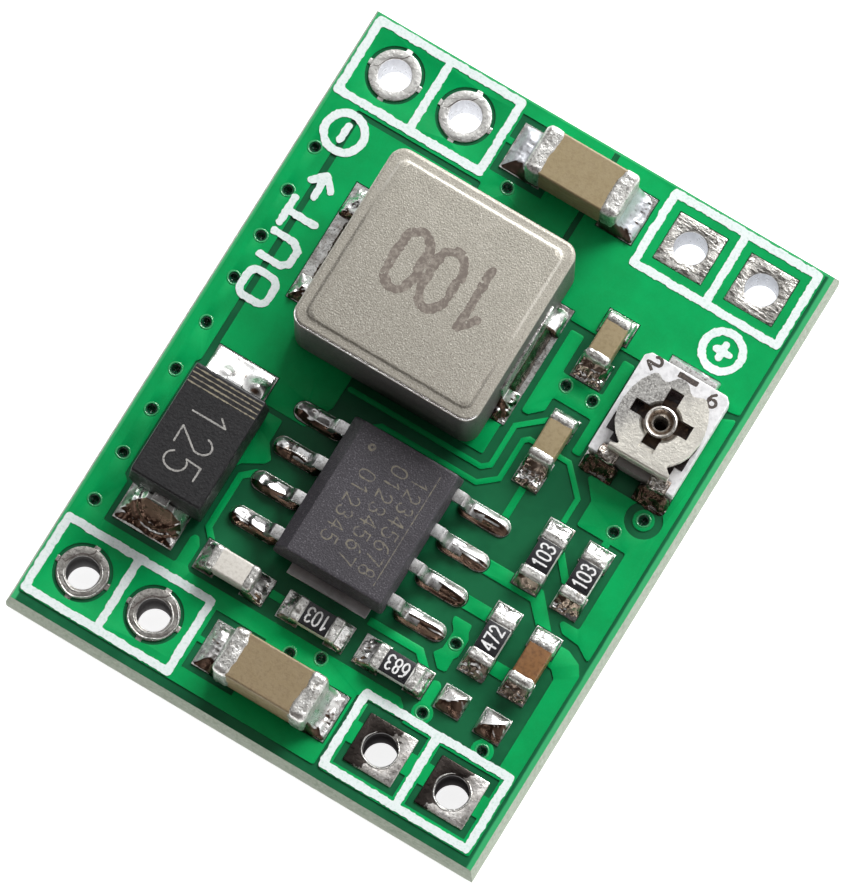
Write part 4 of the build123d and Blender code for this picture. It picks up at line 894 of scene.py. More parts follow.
for key, cx, cy, seed in (("output", 0.02, 9.32, 31), ("input", 0.03, -9.04, 47)):
    ends = Cluster()
    for j, sgn in enumerate((-1, 1)):
        a, b = sorted((cx + sgn * (1.625 - 0.60), cx + sgn * 1.645))
        ends.block((a, cy - 0.815, CHIP_Z - 0.005), (b, cy + 0.815, CHIP_Z + 1.675), 0.19, 0.045, 0.022, 3.6,
                   seed + 5 * j, 0.07, ("-" if sgn > 0 else "+") + "x")
    ends.piece(key + "_capacitor_ends", M["end"], [key + "_capacitor_ends"])

chips = Cluster()
for i, (key, (cx, cy, along, hl, hw, top, wet, pads)) in enumerate(sorted(CHIPS.items())):
    ax, ay = (hl, hw) if along == "x" else (hw, hl)
    body = (cx - ax + 0.02, cy - ay + 0.02, cx + ax - 0.02, cy + ay - 0.02)
    for j, r in enumerate(pads):
        seed = 11 + 7 * i + j
        upper = along == "y" and (r[1] + r[3]) / 2 > cy
        if upper:
            h = meniscus([(body, 0.34, 0.42, 1.0)], 0.13, 0.05, 0.11, 0.050, 2.6, seed, 0.05)
        elif along == "y":
            h = meniscus([(body, wet, 0.42, 1.3)], 0.07, 0.12, 0.13, 0.10, 2.9, seed, 0.16)
        else:
            h = meniscus([(body, wet, 0.42, 1.4)], 0.08, 0.12, 0.14, 0.045, 2.4, seed, 0.08, (0.0, -0.16),
                         ((r[0] + r[2]) / 2, cy))
        chips.lump(r, h, BOARD_T + 0.004, 0.026, 0.10, 0.035, seed + 3)
chips.piece("solder_small_chips", M["solder_chip"], ["chip_solder"])

for key, cx, cy, pads, seed in (
    ("output", 0.02, 9.32, [(-2.46, 8.50, -1.05, 10.13), (1.05, 8.46, 2.30, 10.12)], 31),
    ("input", 0.03, -9.04, [(-2.40, -9.75, -1.05, -8.14), (1.05, -9.77, 2.30, -8.16)], 47),
):
    big = Cluster()
    body = (cx - 1.60, cy - 0.78, cx + 1.60, cy + 0.78)
    for j, r in enumerate(pads):
        mid = ((r[0] + r[2]) / 2, (r[1] + r[3]) / 2)
        if j == 0:
            h = meniscus([(body, 0.62, 0.36, 1.6)], 0.10, 0.22, 0.30, 0.03, 1.5, seed, 0.03, (0.0, -0.02), mid)
        else:
            h = meniscus([(body, 0.80, 0.42, 1.8)], 0.08, 0.16, 0.20, 0.03, 1.4, seed + 1, 0.06, (0.0, -0.13), mid)
        big.lump(r, h, BOARD_T + 0.004, 0.03, 0.12, 0.03, seed + j)
    big.piece("solder_%s_capacitor" % key, M["solder_pale"] if key == "output" else M["solder"], [key + "_capacitor_solder"])


# controller: each foot sits in a stadium of solder
def toe_height(foot, yc, sgn, seed):
    """Solder drawn over a foot: a long ridge, grooved along its lower slope."""
    outer = foot[2] if sgn > 0 else foot[0]

    def h(x, y, d):
        f = np.sqrt(np.clip(1 - (1 - np.clip(d / 0.27, 0, 1)) ** 2, 0, 1))
        run = np.clip((x - outer) * sgn / 0.95, 0, 1)
        ridge = 0.30 - 0.13 * run ** 1.5
        skew = yc + 0.05 + 0.03 * np.sin(3.0 * x + seed)
        across = np.clip(np.abs(y - skew) / 0.34, 0, 1)
        z = ridge * (1 - 0.62 * across ** 1.3)
        low = smooth(0.0, 0.12, skew - y)
        z = z + low * 0.050 * fnoise(x * 1.3 + seed, (y - yc) * 9.0, seed, 2)
        z = z + 0.030 * fnoise(x * 2.2, y * 3.0, seed + 2, 2)
        return f * np.maximum(z, 0.01)

    return h


def toe_left(foot, yc, seed):
    """Solder heaped at the tip of a foot: bright lumps on top, crumpled low down."""
    tip = foot[0]

    def h(x, y, d):
        f = np.sqrt(np.clip(1 - (1 - np.clip(d / 0.22, 0, 1)) ** 2, 0, 1))
        out = np.clip((tip - x) / 0.5, -0.6, 1)
        ridge = 0.335 - 0.08 * np.clip(out, 0, 1) + 0.03 * np.sin(5.2 * x + seed)
        skew = yc - 0.09 + 0.05 * np.sin(4.0 * x + seed)
        up, down = np.clip(y - skew, 0, None), np.clip(skew - y, 0, None)
        z = ridge - 0.385 * up - 0.50 * down
        z = z + 0.09 * fnoise(x * 3.4 + seed, y * 3.4, seed, 2) * smooth(-0.25, 0.25, out)
        z = z + smooth(0.02, 0.16, down) * 0.07 * fnoise(x * 3.0, y * 7.0, seed + 3, 2)
        return f * np.maximum(z, 0.02)

    return h


IC_ROWS = [-3.13 + (1.5 - i) * 1.27 for i in range(4)]
feet = Cluster()
for i, y in enumerate(IC_ROWS):
    for s, x0, x1 in ((-1, -3.86, -2.05), (1, 2.00, 3.79)):
        toe = -0.09 + s * 3.0
        foot = (min(toe, toe - s * 0.62), y - 0.195, max(toe, toe - s * 0.62), y + 0.195)
        seed = 60 + i * 4 + (s > 0)
        if s < 0:
            h = toe_left(foot, y, seed)
        else:
            h = toe_height(foot, y, s, seed)
        feet.lump((x0, y - 0.325, x1, y + 0.325), h, BOARD_T + 0.004, 0.024, 0.32, 0.015, seed)
feet.piece("solder_controller", M["solder"], ["controller_solder"])

dio = Cluster()
DX, DY = -5.64, -3.95
strap_u = (DX - 0.53, DY + 2.03, DX + 0.39, DY + 2.25)
strap_l = (DX - 0.53, DY - 2.25, DX + 0.39, DY - 2.03)


def diode_upper(x, y, d):
    f = np.sqrt(np.clip(1 - (1 - np.clip(d / 0.10, 0, 1)) ** 2, 0, 1))
    z = 0.07 + 0.36 * smooth(-0.78, -1.90, y) ** 1.1
    z = z + 0.24 * np.exp(-(((x + 5.12) / 0.32) ** 2 + ((y + 1.36) / 0.26) ** 2))
    z = z + 0.10 * np.exp(-(((x + 6.22) / 0.24) ** 2 + ((y + 1.42) / 0.17) ** 2))
    z = z + 0.10 * smooth(-6.25, -6.80, x) * smooth(-0.85, -1.3, y)
    z = z + 0.030 * fnoise(x * 1.6, y * 1.6, 80, 2)
    return f * np.maximum(z, 0.02)


dio.lump((-6.87, -2.30, -4.77, -0.75), diode_upper, BOARD_T + 0.004, 0.032, 0.08, 0.03, 80)
diode_fillet = meniscus([(strap_l, 0.85, 0.60, 1.4)], 0.08, 0.12, 0.20, 0.035, 1.5, 85, 0.05)


def diode_lower(x, y, d):
    z = diode_fillet(x, y, d)
    f = np.clip(d / 0.12, 0, 1)
    z = z + f * 0.22 * np.exp(-(((x + 6.56) / 0.20) ** 2 + ((y + 6.42) / 0.26) ** 2))
    ring = np.hypot((x + 5.65) / 1.0, (y + 6.0) / 0.92)
    return z + f * 0.045 * np.exp(-((ring - 0.80) / 0.045) ** 2) + f * 0.03 * np.exp(-((ring - 0.98) / 0.04) ** 2)


dio.lump((-6.87, -7.07, -4.77, -5.60), diode_lower, BOARD_T + 0.004, 0.026, 0.08, 0.04, 85)
dio.piece("solder_diode", M["solder"], ["diode_solder"])

IX, IY = -1.85, 3.67
wall_l = (-5.20, IY - 1.52, -4.9, IY + 1.52)
wall_r = (1.2, IY - 1.52, 1.50, IY + 1.52)
ind = Cluster()
ind.lump((-5.93, 4.62, -4.95, 5.80), meniscus([(wall_l, 0.56, 0.60, 1.2)], 0.12, 0.16, 0.18, 0.05, 2.2, 90, 0.10, (0.0, -0.20), (-5.5, 5.2)),
         BOARD_T + 0.004, 0.03, 0.10, 0.06, 90)
ind.lump((-5.93, 1.60, -4.95, 2.52), meniscus([(wall_l, 0.50, 0.60, 1.2)], 0.12, 0.16, 0.18, 0.05, 2.2, 92, 0.10, (0.0, -0.20), (-5.5, 2.0)),
         BOARD_T + 0.004, 0.03, 0.10, 0.06, 92)
ind.lump((1.25, 4.72, 1.90, 5.76), meniscus([(wall_r, 0.40, 0.50, 1.0)], 0.12, 0.10, 0.14, 0.025, 2.0, 95, 0.03, (0.0, -0.30), (1.6, 5.2)),
         BOARD_T + 0.004, 0.03, 0.10, 0.05, 95)
ind.lump((1.25, 1.57, 1.90, 2.66), meniscus([(wall_r, 0.55, 0.50, 1.3)], 0.08, 0.10, 0.16, 0.07, 2.6, 97, 0.18, (0.0, -0.12), (1.6, 2.1)),
         BOARD_T + 0.004, 0.03, 0.10, 0.05, 97)
ind.piece("solder_inductor", M["solder"], ["inductor_solder"])
# painted shade: the solder under the inductor is the dark solder
seep = Cluster()
seep.lump((-5.60, 2.36, -4.95, 4.78), meniscus([(wall_l, 0.70, 0.40, 1.5)], 0.03, 0.05, 0.14, 0.04, 2.2, 150, 0.12),
          BOARD_T + 0.006, 0.03, 0.12, 0.07, 150)
seep.lump((1.25, 2.52, 1.74, 4.86), meniscus([(wall_r, 0.75, 0.34, 1.5)], 0.03, 0.05, 0.14, 0.04, 2.2, 155, 0.14),
          BOARD_T + 0.006, 0.03, 0.12, 0.06, 155)
seep.piece("solder_under_inductor", M["solder_dark"], [])

# painted shade: the trimmer's front joints are the dark solder
tri = Cluster()
w_l = (4.86, 2.11, 5.50, 2.40)
w_r = (6.64, 2.11, 7.30, 2.40)
tri.lump((4.50, 1.58, 5.70, 2.17), meniscus([(w_l, 0.66, 0.45, 1.2)], 0.05, 0.12, 0.16, 0.05, 3.0, 101, 0.20),
         BOARD_T + 0.004, 0.022, 0.14, 0.08, 101)
tri.lump((6.36, 1.58, 7.52, 2.17), meniscus([(w_r, 0.66, 0.45, 1.2)], 0.05, 0.12, 0.16, 0.05, 3.0, 107, 0.20),
         BOARD_T + 0.004, 0.022, 0.14, 0.08, 107)
tri.piece("solder_trimmer", M["solder_dark"], ["trimmer_solder"])
crimp = Cluster()
crimp.block((4.84, 2.05, 2.00), (5.50, 2.52, 2.405), 0.09, 0.026, 0.060, 5.2, 171, 0.06, "+y")
crimp.block((6.66, 2.05, 2.00), (7.28, 2.50, 2.405), 0.09, 0.026, 0.060, 5.2, 178, 0.06, "+y")
crimp.piece("trimmer_crimp_solder", M["solder_crimp"], [])
shelf = Cluster()
shelf.lump((5.24, 5.72, 6.96, 6.16), meniscus([((5.28, 5.72, 6.92, 5.945), 0.44, 0.22, 1.3)], 0.05, 0.08, 0.12, 0.03, 3.0, 111, 0.05),
           BOARD_T + 0.004, 0.024, 0.08, 0.03, 111)
shelf.piece("solder_trimmer_centre", M["solder_pale"], [])

# the two empty pads carry low humps with a crest across them
spare = Cluster()
for k, r in enumerate([(4.58, -7.08, 5.48, -6.22), (6.00, -7.12, 6.92, -6.22)]):
    cx, cy = (r[0] + r[2]) / 2, (r[1] + r[3]) / 2

    def hump(x, y, d, cx=cx, cy=cy, k=k):
        u = (x - cx) * 0.8553 + (y - cy) * 0.5182
        v = -(x - cx) * 0.5182 + (y - cy) * 0.8553
        f = np.sqrt(np.clip(1 - (1 - np.clip(d / 0.24, 0, 1)) ** 2, 0, 1))
        crest = -0.02 + 0.16 * np.abs(u) - 0.05 * u + 0.012 * np.sin(9 * u + k)
        up, down = np.clip(v - crest, 0, None), np.clip(crest - v, 0, None)
        z = 0.36 - 0.42 * up - 0.46 * down - 0.12 * np.abs(u)
        z = z + smooth(0.0, 0.06, down) * 0.035 * fnoise(u * 9.0 + 4 * k, v * 2.0, 121 + k, 2)
        z = z + 0.012 * fnoise(x * 3, y * 3, 124 + k, 2)
        return f * np.maximum(z, 0.02)

    spare.lump(r, hump, BOARD_T + 0.004, 0.020, 0.14, 0.03, 120 + k)
spare.piece("solder_spare_pads", M["solder"], ["spare_pad_solder"])

# coating run into the vias: a thin lip round a sunken well
VIAS = [
    (-7.63, 6.09), (-7.63, 4.49), (-7.59, 2.83), (-7.60, 1.26), (-7.60, -0.38),
    (-7.63, -2.13), (-7.60, -3.59), (-7.63, -5.20), (-7.60, -6.91),
    (-1.88, 8.05), (2.89, 3.62), (3.83, 3.61), (7.10, 1.22), (6.51, 0.43),
    (4.18, -5.05), (4.42, -7.42), (6.59, -7.49), (0.91, -7.57), (0.00, -7.93),
]
WELL = [(0.0, 0.045), (0.13, 0.045), (0.135, 1.40), (0.17, 1.60), (0.245, 1.632), (0.232, 1.642),
        (0.214, 1.648), (0.196, 1.648), (0.180, 1.640), (0.166, 1.622), (0.152, 1.596),
        (0.134, 1.556), (0.118, 1.518), (0.094, 1.488), (0.064, 1.470), (0.032, 1.462), (0.0, 1.460)]
wells = Cluster()
for k, (vx, vy) in enumerate(VIAS):
    n = 40
    rows = []
    for i, (r, z) in enumerate(WELL):
        if r == 0.0:
            rows.append([len(wells.v)] * n)
            wells.v.append((vx, vy, z))
            continue
        row = []
        for q in range(n):
            a = 2 * math.pi * q / n
            wob = 1 + 0.04 * math.sin(2 * a + k) + 0.012 * math.sin(3 * a + 2.3 * k)
            sag = 0.030 * math.sin(a * 2 + 1.7 * k + r * 9) * smooth(1.60, 1.50, z) if 4 < i else 0.0
            row.append(len(wells.v))
            wells.v.append((vx + r * wob * math.cos(a), vy + r * wob * math.sin(a), z + float(sag)))
        rows.append(row)
    for ra, rb in zip(rows[:-1], rows[1:]):
        for q in range(n):
            q2 = (q + 1) % n
            f = (ra[q], ra[q2], rb[q2], rb[q])
            f = tuple(v for i, v in enumerate(f) if v not in f[:i])
            if len(f) >= 3:
                wells.f.append(f)
wells.piece("via_coating", M["mask_via"], ["via_plugs"])

# ------------------------------------------------------------ printed marks


def arc(cx, cy, rx, ry, a0, a1, n=14):
    return [(cx + rx * math.cos(math.radians(a0 + (a1 - a0) * i / n)),
             cy + ry * math.sin(math.radians(a0 + (a1 - a0) * i / n))) for i in range(n + 1)]


# strokes in a cell one unit wide and 1.6 high
GLYPHS = {
    "0": [arc(0.5, 1.1, 0.5, 0.5, 0, 180, 10) + arc(0.5, 0.5, 0.5, 0.5, 180, 360, 10) + [(1.0, 1.1)]],
    "1": [[(0.15, 1.25), (0.55, 1.6), (0.55, 0.0)]],
    "2": [arc(0.5, 1.12, 0.48, 0.48, 165, -20, 12) + [(0.02, 0.0), (1.0, 0.0)]],
    "3": [arc(0.45, 1.2, 0.45, 0.4, 150, -85, 12), arc(0.45, 0.41, 0.52, 0.42, 88, -150, 14)],
    "4": [[(0.74, 0.0), (0.74, 1.6), (0.0, 0.5), (1.02, 0.5)]],
    "5": [[(0.92, 1.6), (0.12, 1.6), (0.06, 0.88)] + arc(0.44, 0.5, 0.54, 0.52, 120, -150, 14)],
    "6": [arc(0.5, 0.5, 0.48, 0.48, 0, 360, 18), [(0.03, 0.55), (0.12, 1.05), (0.42, 1.45), (0.85, 1.6)]],
    "7": [[(0.0, 1.6), (1.0, 1.6), (0.36, 0.0)]],
    "8": [arc(0.5, 1.2, 0.38, 0.38, 0, 360, 16), arc(0.5, 0.42, 0.48, 0.42, 0, 360, 18)],
    "-": [[(0.1, 0.8), (0.9, 0.8)]],
    "|": [[(0.5, 0.0), (0.5, 1.6)]],
}


def sheet(field, bounds, step, z, thick):
    """Verts and faces of a thin closed sheet over the region where field(x, y) < 0."""
    x0, y0, x1, y1 = bounds
    nx, ny = int(math.ceil((x1 - x0) / step)), int(math.ceil((y1 - y0) / step))
    gx, gy = np.meshgrid(x0 + step * np.arange(nx + 1), y0 + step * np.arange(ny + 1), indexing="ij")
    f = field(gx, gy)
    f = np.where(np.abs(f) < 1e-5, 1e-5, f)
    verts, faces, ids = [], [], {}

    def vid(key, x, y):
        if key not in ids:
            ids[key] = len(verts)
            verts.append((x, y))
        return ids[key]

    inside = f < 0
    some = inside[:-1, :-1] | inside[1:, :-1] | inside[1:, 1:] | inside[:-1, 1:]
    for i, j in zip(*np.nonzero(some)):
        ring = [(i, j), (i + 1, j), (i + 1, j + 1), (i, j + 1)]
        poly = []
        for k in range(4):
            p, q = ring[k], ring[(k + 1) % 4]
            fp, fq = f[p], f[q]
            if fp < 0:
                poly.append(vid(("p",) + p, gx[p], gy[p]))
            if (fp < 0) != (fq < 0):
                t = fp / (fp - fq)
                key = ("e",) + (p + q if p < q else q + p)
                poly.append(vid(key, gx[p] + t * (gx[q] - gx[p]), gy[p] + t * (gy[q] - gy[p])))
        if len(poly) >= 3:
            faces.append(poly)
    n = len(verts)
    v3 = [(x, y, z + thick) for x, y in verts] + [(x, y, z) for x, y in verts]
    edges = {}
    for p in faces:
        for a, b in zip(p, p[1:] + p[:1]):
            edges[(a, b)] = edges.get((a, b), 0) + 1
    all_f = [tuple(p) for p in faces] + [tuple(q + n for q in p[::-1]) for p in faces]
    for (a, b) in edges:
        if (b, a) not in edges:
            all_f.append((b, a, a + n, b + n))
    return v3, all_f


def contour(name, field, bounds, step, z, thick, mat, body="module"):
    v, f = sheet(field, bounds, step, z, thick)
    return new_piece(name, v, f, mat, body=body, flat=True)


def text_field(text, ox, oy, ang, height, pitch, stroke, ragged=0.0, grain=9.0, wide=None, seed=5):
    """Signed distance to words set from (ox, oy), read along ang degrees."""
    k = height / 1.6
    kx = wide if wide is not None else k
    ca, sa = math.cos(math.radians(ang)), math.sin(math.radians(ang))
    lines = []
    for i, ch in enumerate(text):
        for st in GLYPHS.get(ch, []):
            pts = [(i * pitch + u * kx, v * k) for u, v in st]
            lines.append([(ox + ca * u - sa * v, oy + sa * u + ca * v) for u, v in pts])
    xs = [p[0] for line in lines for p in line]
    ys = [p[1] for line in lines for p in line]
    m = stroke
    bounds = (min(xs) - m, min(ys) - m, max(xs) + m, max(ys) + m)

    def field(x, y):
        d = None
        for line in lines:
            e = sd_line(x, y, line) - stroke / 2
            d = e if d is None else np.minimum(d, e)
        if ragged:
            n = fnoise(x * grain, y * grain, seed, 3)
            d = d + ragged * n
            d = np.where(fnoise(x * grain * 1.7, y * grain * 1.7, seed + 3, 2) > 0.62, 0.01, d)
        return d

    return field, bounds


# the board's white print, its edges a little ragged from the screen
INK_Z, INK = 1.6352, 0.265


def ragged(x, y, seed):
    return 0.024 * fnoise(x * 6.0, y * 6.0, seed, 2) + 0.014 * fnoise(x * 13.0, y * 13.0, seed + 4, 1)


def frame_field(cx, cy, seed):
    outer = (cx - 2.685, cy - 1.415, cx + 2.685, cy + 1.415)

    def field(x, y):
        d = sd_rect(x, y, outer, 0.13)
        for a, b in ((outer[0] + INK, cx - INK / 2), (cx + INK / 2, outer[2] - INK)):
            d = np.maximum(d, -sd_rect(x, y, (a, outer[1] + INK, b, outer[3] - INK), 0.03))
        return d + ragged(x, y, seed)

    return field, (outer[0] - 0.06, outer[1] - 0.06, outer[2] + 0.06, outer[3] + 0.06)


def ring_field(cx, cy, radius, width, lines, wide, seed):
    def field(x, y):
        d = np.abs(np.hypot(x - cx, y - cy) - radius) - width / 2
        for line in lines:
            d = np.minimum(d, sd_line(x, y, line) - wide / 2)
        return d + ragged(x, y, seed)

    m = radius + width
    return field, (cx - m, cy - m, cx + m, cy + m)


def word_field(x, y):
    # the letters' feet are at X -6.34, their tops at X -7.32, and they run towards +Y
    ring = np.abs(sd_rect(x, y, (-7.32, 0.93, -6.34, 1.87), 0.29)) - 0.12
    d = ring
    for line in ([(1.0, 2.32), (0.25, 2.32), (0.02, 2.52), (0.02, 2.98), (0.25, 3.18), (1.0, 3.18)],
                 [(1.0, 3.50), (1.0, 4.40)], [(0.95, 3.95), (0.0, 3.95)],
                 [(0.5, 4.72), (0.5, 5.45)], [(0.86, 5.14), (0.5, 5.50), (0.14, 5.14)]):
        pts = [(-6.34 - 0.98 * v, u) for v, u in line]
        d = np.minimum(d, sd_line(x, y, pts) - 0.12)
    return d + ragged(x, y, 77)


print_v, print_f = [], []
shapes = [frame_field(mx, my, 70 + k) for k, (mx, my) in
          enumerate([(-5.44, 9.33), (5.20, 9.33), (-5.44, -9.05), (5.20, -9.05)])]
shapes.append(ring_field(-7.09, 6.95, 0.637, 0.255, [[(-7.09, 6.70), (-7.09, 7.20)]], 0.235, 75))
shapes.append(ring_field(6.44, 7.03, 0.632, 0.255,
                         [[(6.21, 7.03), (6.67, 7.03)], [(6.44, 6.80), (6.44, 7.26)]], 0.22, 76))
shapes.append((word_field, (-7.60, 0.70, -6.06, 5.75)))
for field, box in shapes:
    v, f = sheet(field, box, 0.034, INK_Z, 0.018)
    print_f += [tuple(i + len(print_v) for i in q) for q in f]
    print_v += v
legend = new_piece("white_print", print_v, print_f, M["legend"], flat=True)
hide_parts("board_legend")

# where the levelled plating has drawn back from the holes it leaves a dark seam
seam_v, seam_f = [], []
for cx, cy, kind in ((-6.71, 9.33, 0), (-4.17, 9.33, 0), (-6.71, -9.05, 1), (-4.17, -9.05, 2)):
    if kind == 0:
        polar = [(0.75, 186), (0.60, 182), (0.555, 170), (0.545, 150), (0.55, 130), (0.545, 110), (0.555, 98), (0.64, 90), (0.76, 84)]
    elif kind == 1:
        polar = [(0.78, 176), (0.64, 178), (0.60, 168), (0.585, 140), (0.60, 120), (0.585, 100), (0.66, 92), (0.78, 88)]
    else:
        polar = [(0.80, 196), (0.66, 192), (0.60, 176), (0.575, 150), (0.59, 124), (0.575, 100), (0.64, 88), (0.80, 80)]
    line = [(cx + r * math.cos(math.radians(a)), cy + r * math.sin(math.radians(a))) for r, a in polar]
    wide = 0.030 if kind == 0 else 0.050

    def field(x, y, line=line, wide=wide, cx=cx, cy=cy):
        taper = 0.45 + 0.55 * smooth(0.80, 0.60, np.hypot(x - cx, y - cy))
        return sd_line(x, y, line) - wide / 2 * taper + 0.010 * fnoise(x * 7, y * 7, 91, 2)

    v, f = sheet(field, (cx - 0.9, cy - 0.3, cx + 0.3, cy + 0.9), 0.012, 1.6552, 0.002)
    seam_f += [tuple(i + len(seam_v) for i in q) for q in f]
    seam_v += v
new_piece("plating_seams", seam_v, seam_f, M["seam"], flat=True)

lip_v, lip_f = [], []
for cx, cy, r0, a0, a1 in ((3.93, -9.05, 0.575, 130, 425), (6.47, -9.05, 0.575, 110, 430),
                           (-4.17, -9.05, 0.60, 195, 440), (-6.71, -9.05, 0.60, 200, 420),
                           (-4.17, -9.05, 0.775, 160, 440), (-6.71, -9.05, 0.775, 200, 400)):
    n = 60
    base = len(lip_v)
    for i in range(n + 1):
        a = math.radians(a0 + (a1 - a0) * i / n)
        wide = 0.034 * math.sin(math.pi * min(i, n - i, 12) / 24) + 0.004
        wob = 1 + 0.02 * math.sin(3 * a + cx) + 0.012 * math.sin(7 * a)
        for r, z in ((r0 * wob - wide, 1.6545), (r0 * wob, 1.6545 + 0.6 * wide), (r0 * wob + wide, 1.6545)):
            lip_v.append((cx + r * math.cos(a), cy + r * math.sin(a), z))
    for i in range(n):
        k = base + 3 * i
        for j in range(3):
            j2 = (j + 1) % 3
            lip_f.append((k + j, k + j2, k + 3 + j2, k + 3 + j))
    lip_f.append((base + 2, base + 1, base))
    k = base + 3 * n
    lip_f.append((k, k + 1, k + 2))
new_piece("plating_lips", lip_v, lip_f, M["end"])

# inductor: a plain number, turned half round
f, b = text_field("100", -0.05, 4.86, 180, 2.0, 1.22, 0.285, 0.075, 5.5, wide=0.90, seed=9)
contour("inductor_mark", f, b, 0.03, 4.5995, 0.003, M["ink_grey"])

# diode: four fine bands at the marked end and a plain number
bands = [-2.15, -2.30, -2.46, -2.62]


def band_field(x, y):
    d = None
    for yb in bands:
        e = sd_rect(x, y, (-6.84, yb - 0.020, -4.44, yb + 0.020))
        d = e if d is None else np.minimum(d, e)
    return d + 0.016 * fnoise(x * 9, y * 9, 21, 2)


contour("diode_bands", band_field, (-6.90, -2.78, -4.38, -2.06), 0.014, 3.7195, 0.003, M["ink_fawn"])
f, b = text_field("125", -6.20, -3.05, -90, 1.16, 0.84, 0.058, 0.008, 12.0, wide=0.56, seed=4)
contour("diode_mark", f, b, 0.016, 3.7195, 0.003, M["ink_light"])


# controller: the first-lead dot, the long line beside the far leads, plain numbers
IC_WORDS = [text_field(t, ox, oy, -90, 0.52, 0.445, 0.045, 0.010, 13.0, wide=0.27, seed=14 + i)
            for i, (t, ox, oy) in enumerate((("12345678", 0.60, -1.55), ("01234567", -0.14, -1.52), ("012345", -0.94, -2.10)))]


def ic_field(x, y):
    dot = np.abs(np.hypot(x + 1.0, y + 1.41) - 0.085) - 0.04
    line = sd_rect(x, y, (1.255, -5.08, 1.285, -1.12))
    d = np.minimum(dot, line)
    for f, _ in IC_WORDS:
        d = np.minimum(d, f(x, y))
    return d + 0.012 * fnoise(x * 11, y * 11, 33, 2)


contour("controller_mark", ic_field, (-1.25, -5.25, 1.35, -1.02), 0.018, 3.1495, 0.003, M["ink_ic"])

# resistors: white numbers
RES_TOP = SEAT + 0.02 + 0.46 + 0.01
for key, text, ang in (("R1", "103", 90), ("R2", "103", 90), ("R3", "472", 90), ("R4", "683", 180), ("R5", "103", 180)):
    cx, cy = CHIPS[key][0], CHIPS[key][1]
    h, pitch, st = 0.47, 0.265, 0.062
    w = 2 * pitch + 0.19
    ca, sa = math.cos(math.radians(ang)), math.sin(math.radians(ang))
    ox = cx - ca * w / 2 + sa * h / 2
    oy = cy - sa * w / 2 - ca * h / 2
    f, b = text_field(text, ox, oy, ang, h, pitch, st, 0.006, 18.0, wide=0.19, seed=6)
    contour("resistor_mark_" + key, f, b, 0.012, RES_TOP, 0.003, M["ink_white"])

# trimmer dial: plain numbers and a bar on the base
DIAL_Z = 2.2995
f, b = text_field("2", 4.70, 5.46, -38, 0.40, 0.3, 0.105, 0.012, 9, wide=0.30, seed=3)
contour("dial_low", f, b, 0.016, DIAL_Z, 0.004, M["ink_dial"])
f, b = text_field("6", 6.98, 5.14, 22, 0.40, 0.3, 0.095, 0.012, 9, wide=0.28, seed=3)
contour("dial_high", f, b, 0.016, DIAL_Z, 0.004, M["ink_dial"])
contour("dial_bar", lambda x, y: sd_rect(x, y, (5.72, 5.50, 6.40, 5.68), 0.03) + 0.015 * fnoise(x * 8, y * 8, 2, 2),
        (5.62, 5.40, 6.50, 5.76), 0.016, DIAL_Z, 0.004, M["ink_dial"])

# ------------------------------------------------------------------- studio
floor_me = bpy.data.meshes.new("floor")
bm = bmesh.new()
for x, y in ((-1.2, -1.2), (1.2, -1.2), (1.2, 1.2), (-1.2, 1.2)):
    bm.verts.new((x, y, -0.00002))
bm.faces.new(bm.verts)
bm.to_mesh(floor_me)
bm.free()
floor = bpy.data.objects.new("floor", floor_me)
scene.collection.objects.link(floor)
fl = Shader("floor_white")
fl.set("Base Color", (0.95, 0.95, 0.95, 1))
fl.set("Roughness", 0.9)
fl.set("Specular IOR Level", 0.1)
fl.set("Emission Color", (1, 1, 1, 1))
fl.set("Emission Strength", 0.85)
floor_me.materials.append(fl.m)

UP = Vector((-0.5182, 0.8553, 0.0))      # towards the top of the picture
RIGHT = Vector((0.8553, 0.5182, 0.0))


def panel(name, where, size, watts, colour=(1, 1, 1), aim=(0, 0, 0.0016)):
    li = bpy.data.lights.new(name, "AREA")
    li.shape = "RECTANGLE"
    li.size, li.size_y = size
    li.energy = watts
    li.color = colour
    o = bpy.data.objects.new(name, li)
    o.location = where
    o.rotation_euler = (Vector(aim) - Vector(where)).to_track_quat("-Z", "Y").to_euler()
    scene.collection.objects.link(o)
    return o


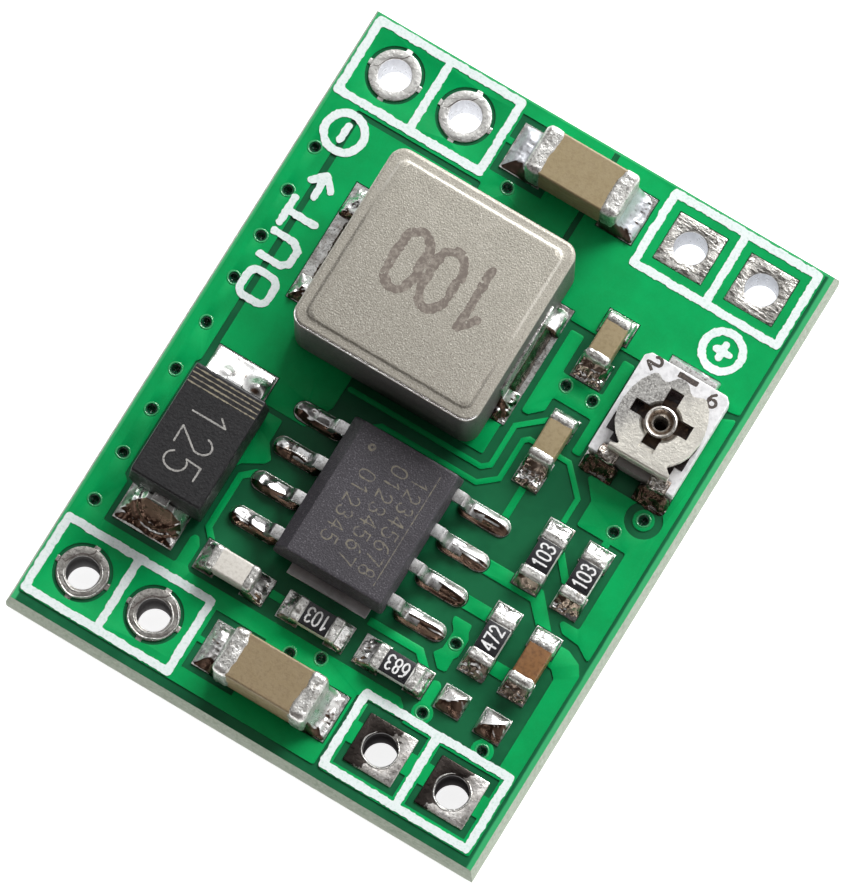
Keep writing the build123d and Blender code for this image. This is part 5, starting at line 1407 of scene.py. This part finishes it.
def card(name, tilt, distance, across, along, radiance, colour=(1, 1, 1), turn=0.0):
    """A flat soft light over the object, tilted away from the vertical towards the top
    of the picture, turned about the vertical, with its brightness given directly."""
    t, a = math.radians(tilt), math.radians(turn)
    flat = UP * math.cos(a) + RIGHT * math.sin(a)
    d = flat * math.sin(t) + Vector((0, 0, 1)) * math.cos(t)
    o = panel(name, d * distance, (across, along), radiance * math.pi * across * along, colour)
    z = d.normalized()
    x = Vector((0, 0, 1)).cross(z).normalized() if tilt > 1 else RIGHT
    y = z.cross(x)
    o.rotation_euler = Matrix((x, y, z)).transposed().to_euler()
    return o


card("key_card", 56, 0.60, 0.40, 0.222, 17.2, turn=40)
card("upper_card", 31, 0.62, 0.80, 0.46, 0.50)
card("right_card", 60, 0.60, 0.50, 0.40, 0.85, turn=105)
card("front_strip", 64, 0.60, 0.80, 0.030, 7.0, turn=180)

w = bpy.data.worlds.new("studio")
scene.world = w
w.use_nodes = True
nt = w.node_tree
nt.nodes.clear()
wo = nt.nodes.new("ShaderNodeOutputWorld")
bg = nt.nodes.new("ShaderNodeBackground")
tc = nt.nodes.new("ShaderNodeTexCoord")
dp = nt.nodes.new("ShaderNodeVectorMath")
dp.operation = "DOT_PRODUCT"
nt.links.new(tc.outputs["Generated"], dp.inputs[0])
turned = math.radians(20)
dp.inputs[1].default_value = tuple(UP * math.cos(turned) + RIGHT * math.sin(turned))
rp = nt.nodes.new("ShaderNodeValToRGB")
e = rp.color_ramp.elements
e[0].position, e[0].color = 0.25, (0.055, 0.040, 0.034, 1)
e[1].position, e[1].color = 0.58, (0.11, 0.11, 0.11, 1)
for at, v in ((0.72, 0.30), (0.82, 0.46)):
    q = e.new(at)
    q.color = (v, v, v * 1.01, 1)
mr = nt.nodes.new("ShaderNodeMapRange")
mr.inputs[1].default_value = -1.0
mr.inputs[2].default_value = 1.0
nt.links.new(dp.outputs["Value"], mr.inputs[0])
nt.links.new(mr.outputs[0], rp.inputs[0])
nt.links.new(rp.outputs[0], bg.inputs[0])
bg.inputs[1].default_value = 1.0
nt.links.new(bg.outputs[0], wo.inputs[0])

cam_data = bpy.data.cameras.new("camera")
cam_data.sensor_width = 36.0
cam_data.lens = 398.0
cam_data.clip_start = 0.01
cam_data.clip_end = 10.0
cam_data.dof.use_dof = False
cam = bpy.data.objects.new("camera", cam_data)
eye = Vector((34.999, -57.928, 293.911)) * MM
aim = Vector((0.03, -0.21, 1.6)) * MM
cam.location = eye
cam.rotation_euler = (aim - eye).to_track_quat("-Z", "Y").to_euler()
scene.collection.objects.link(cam)
scene.camera = cam
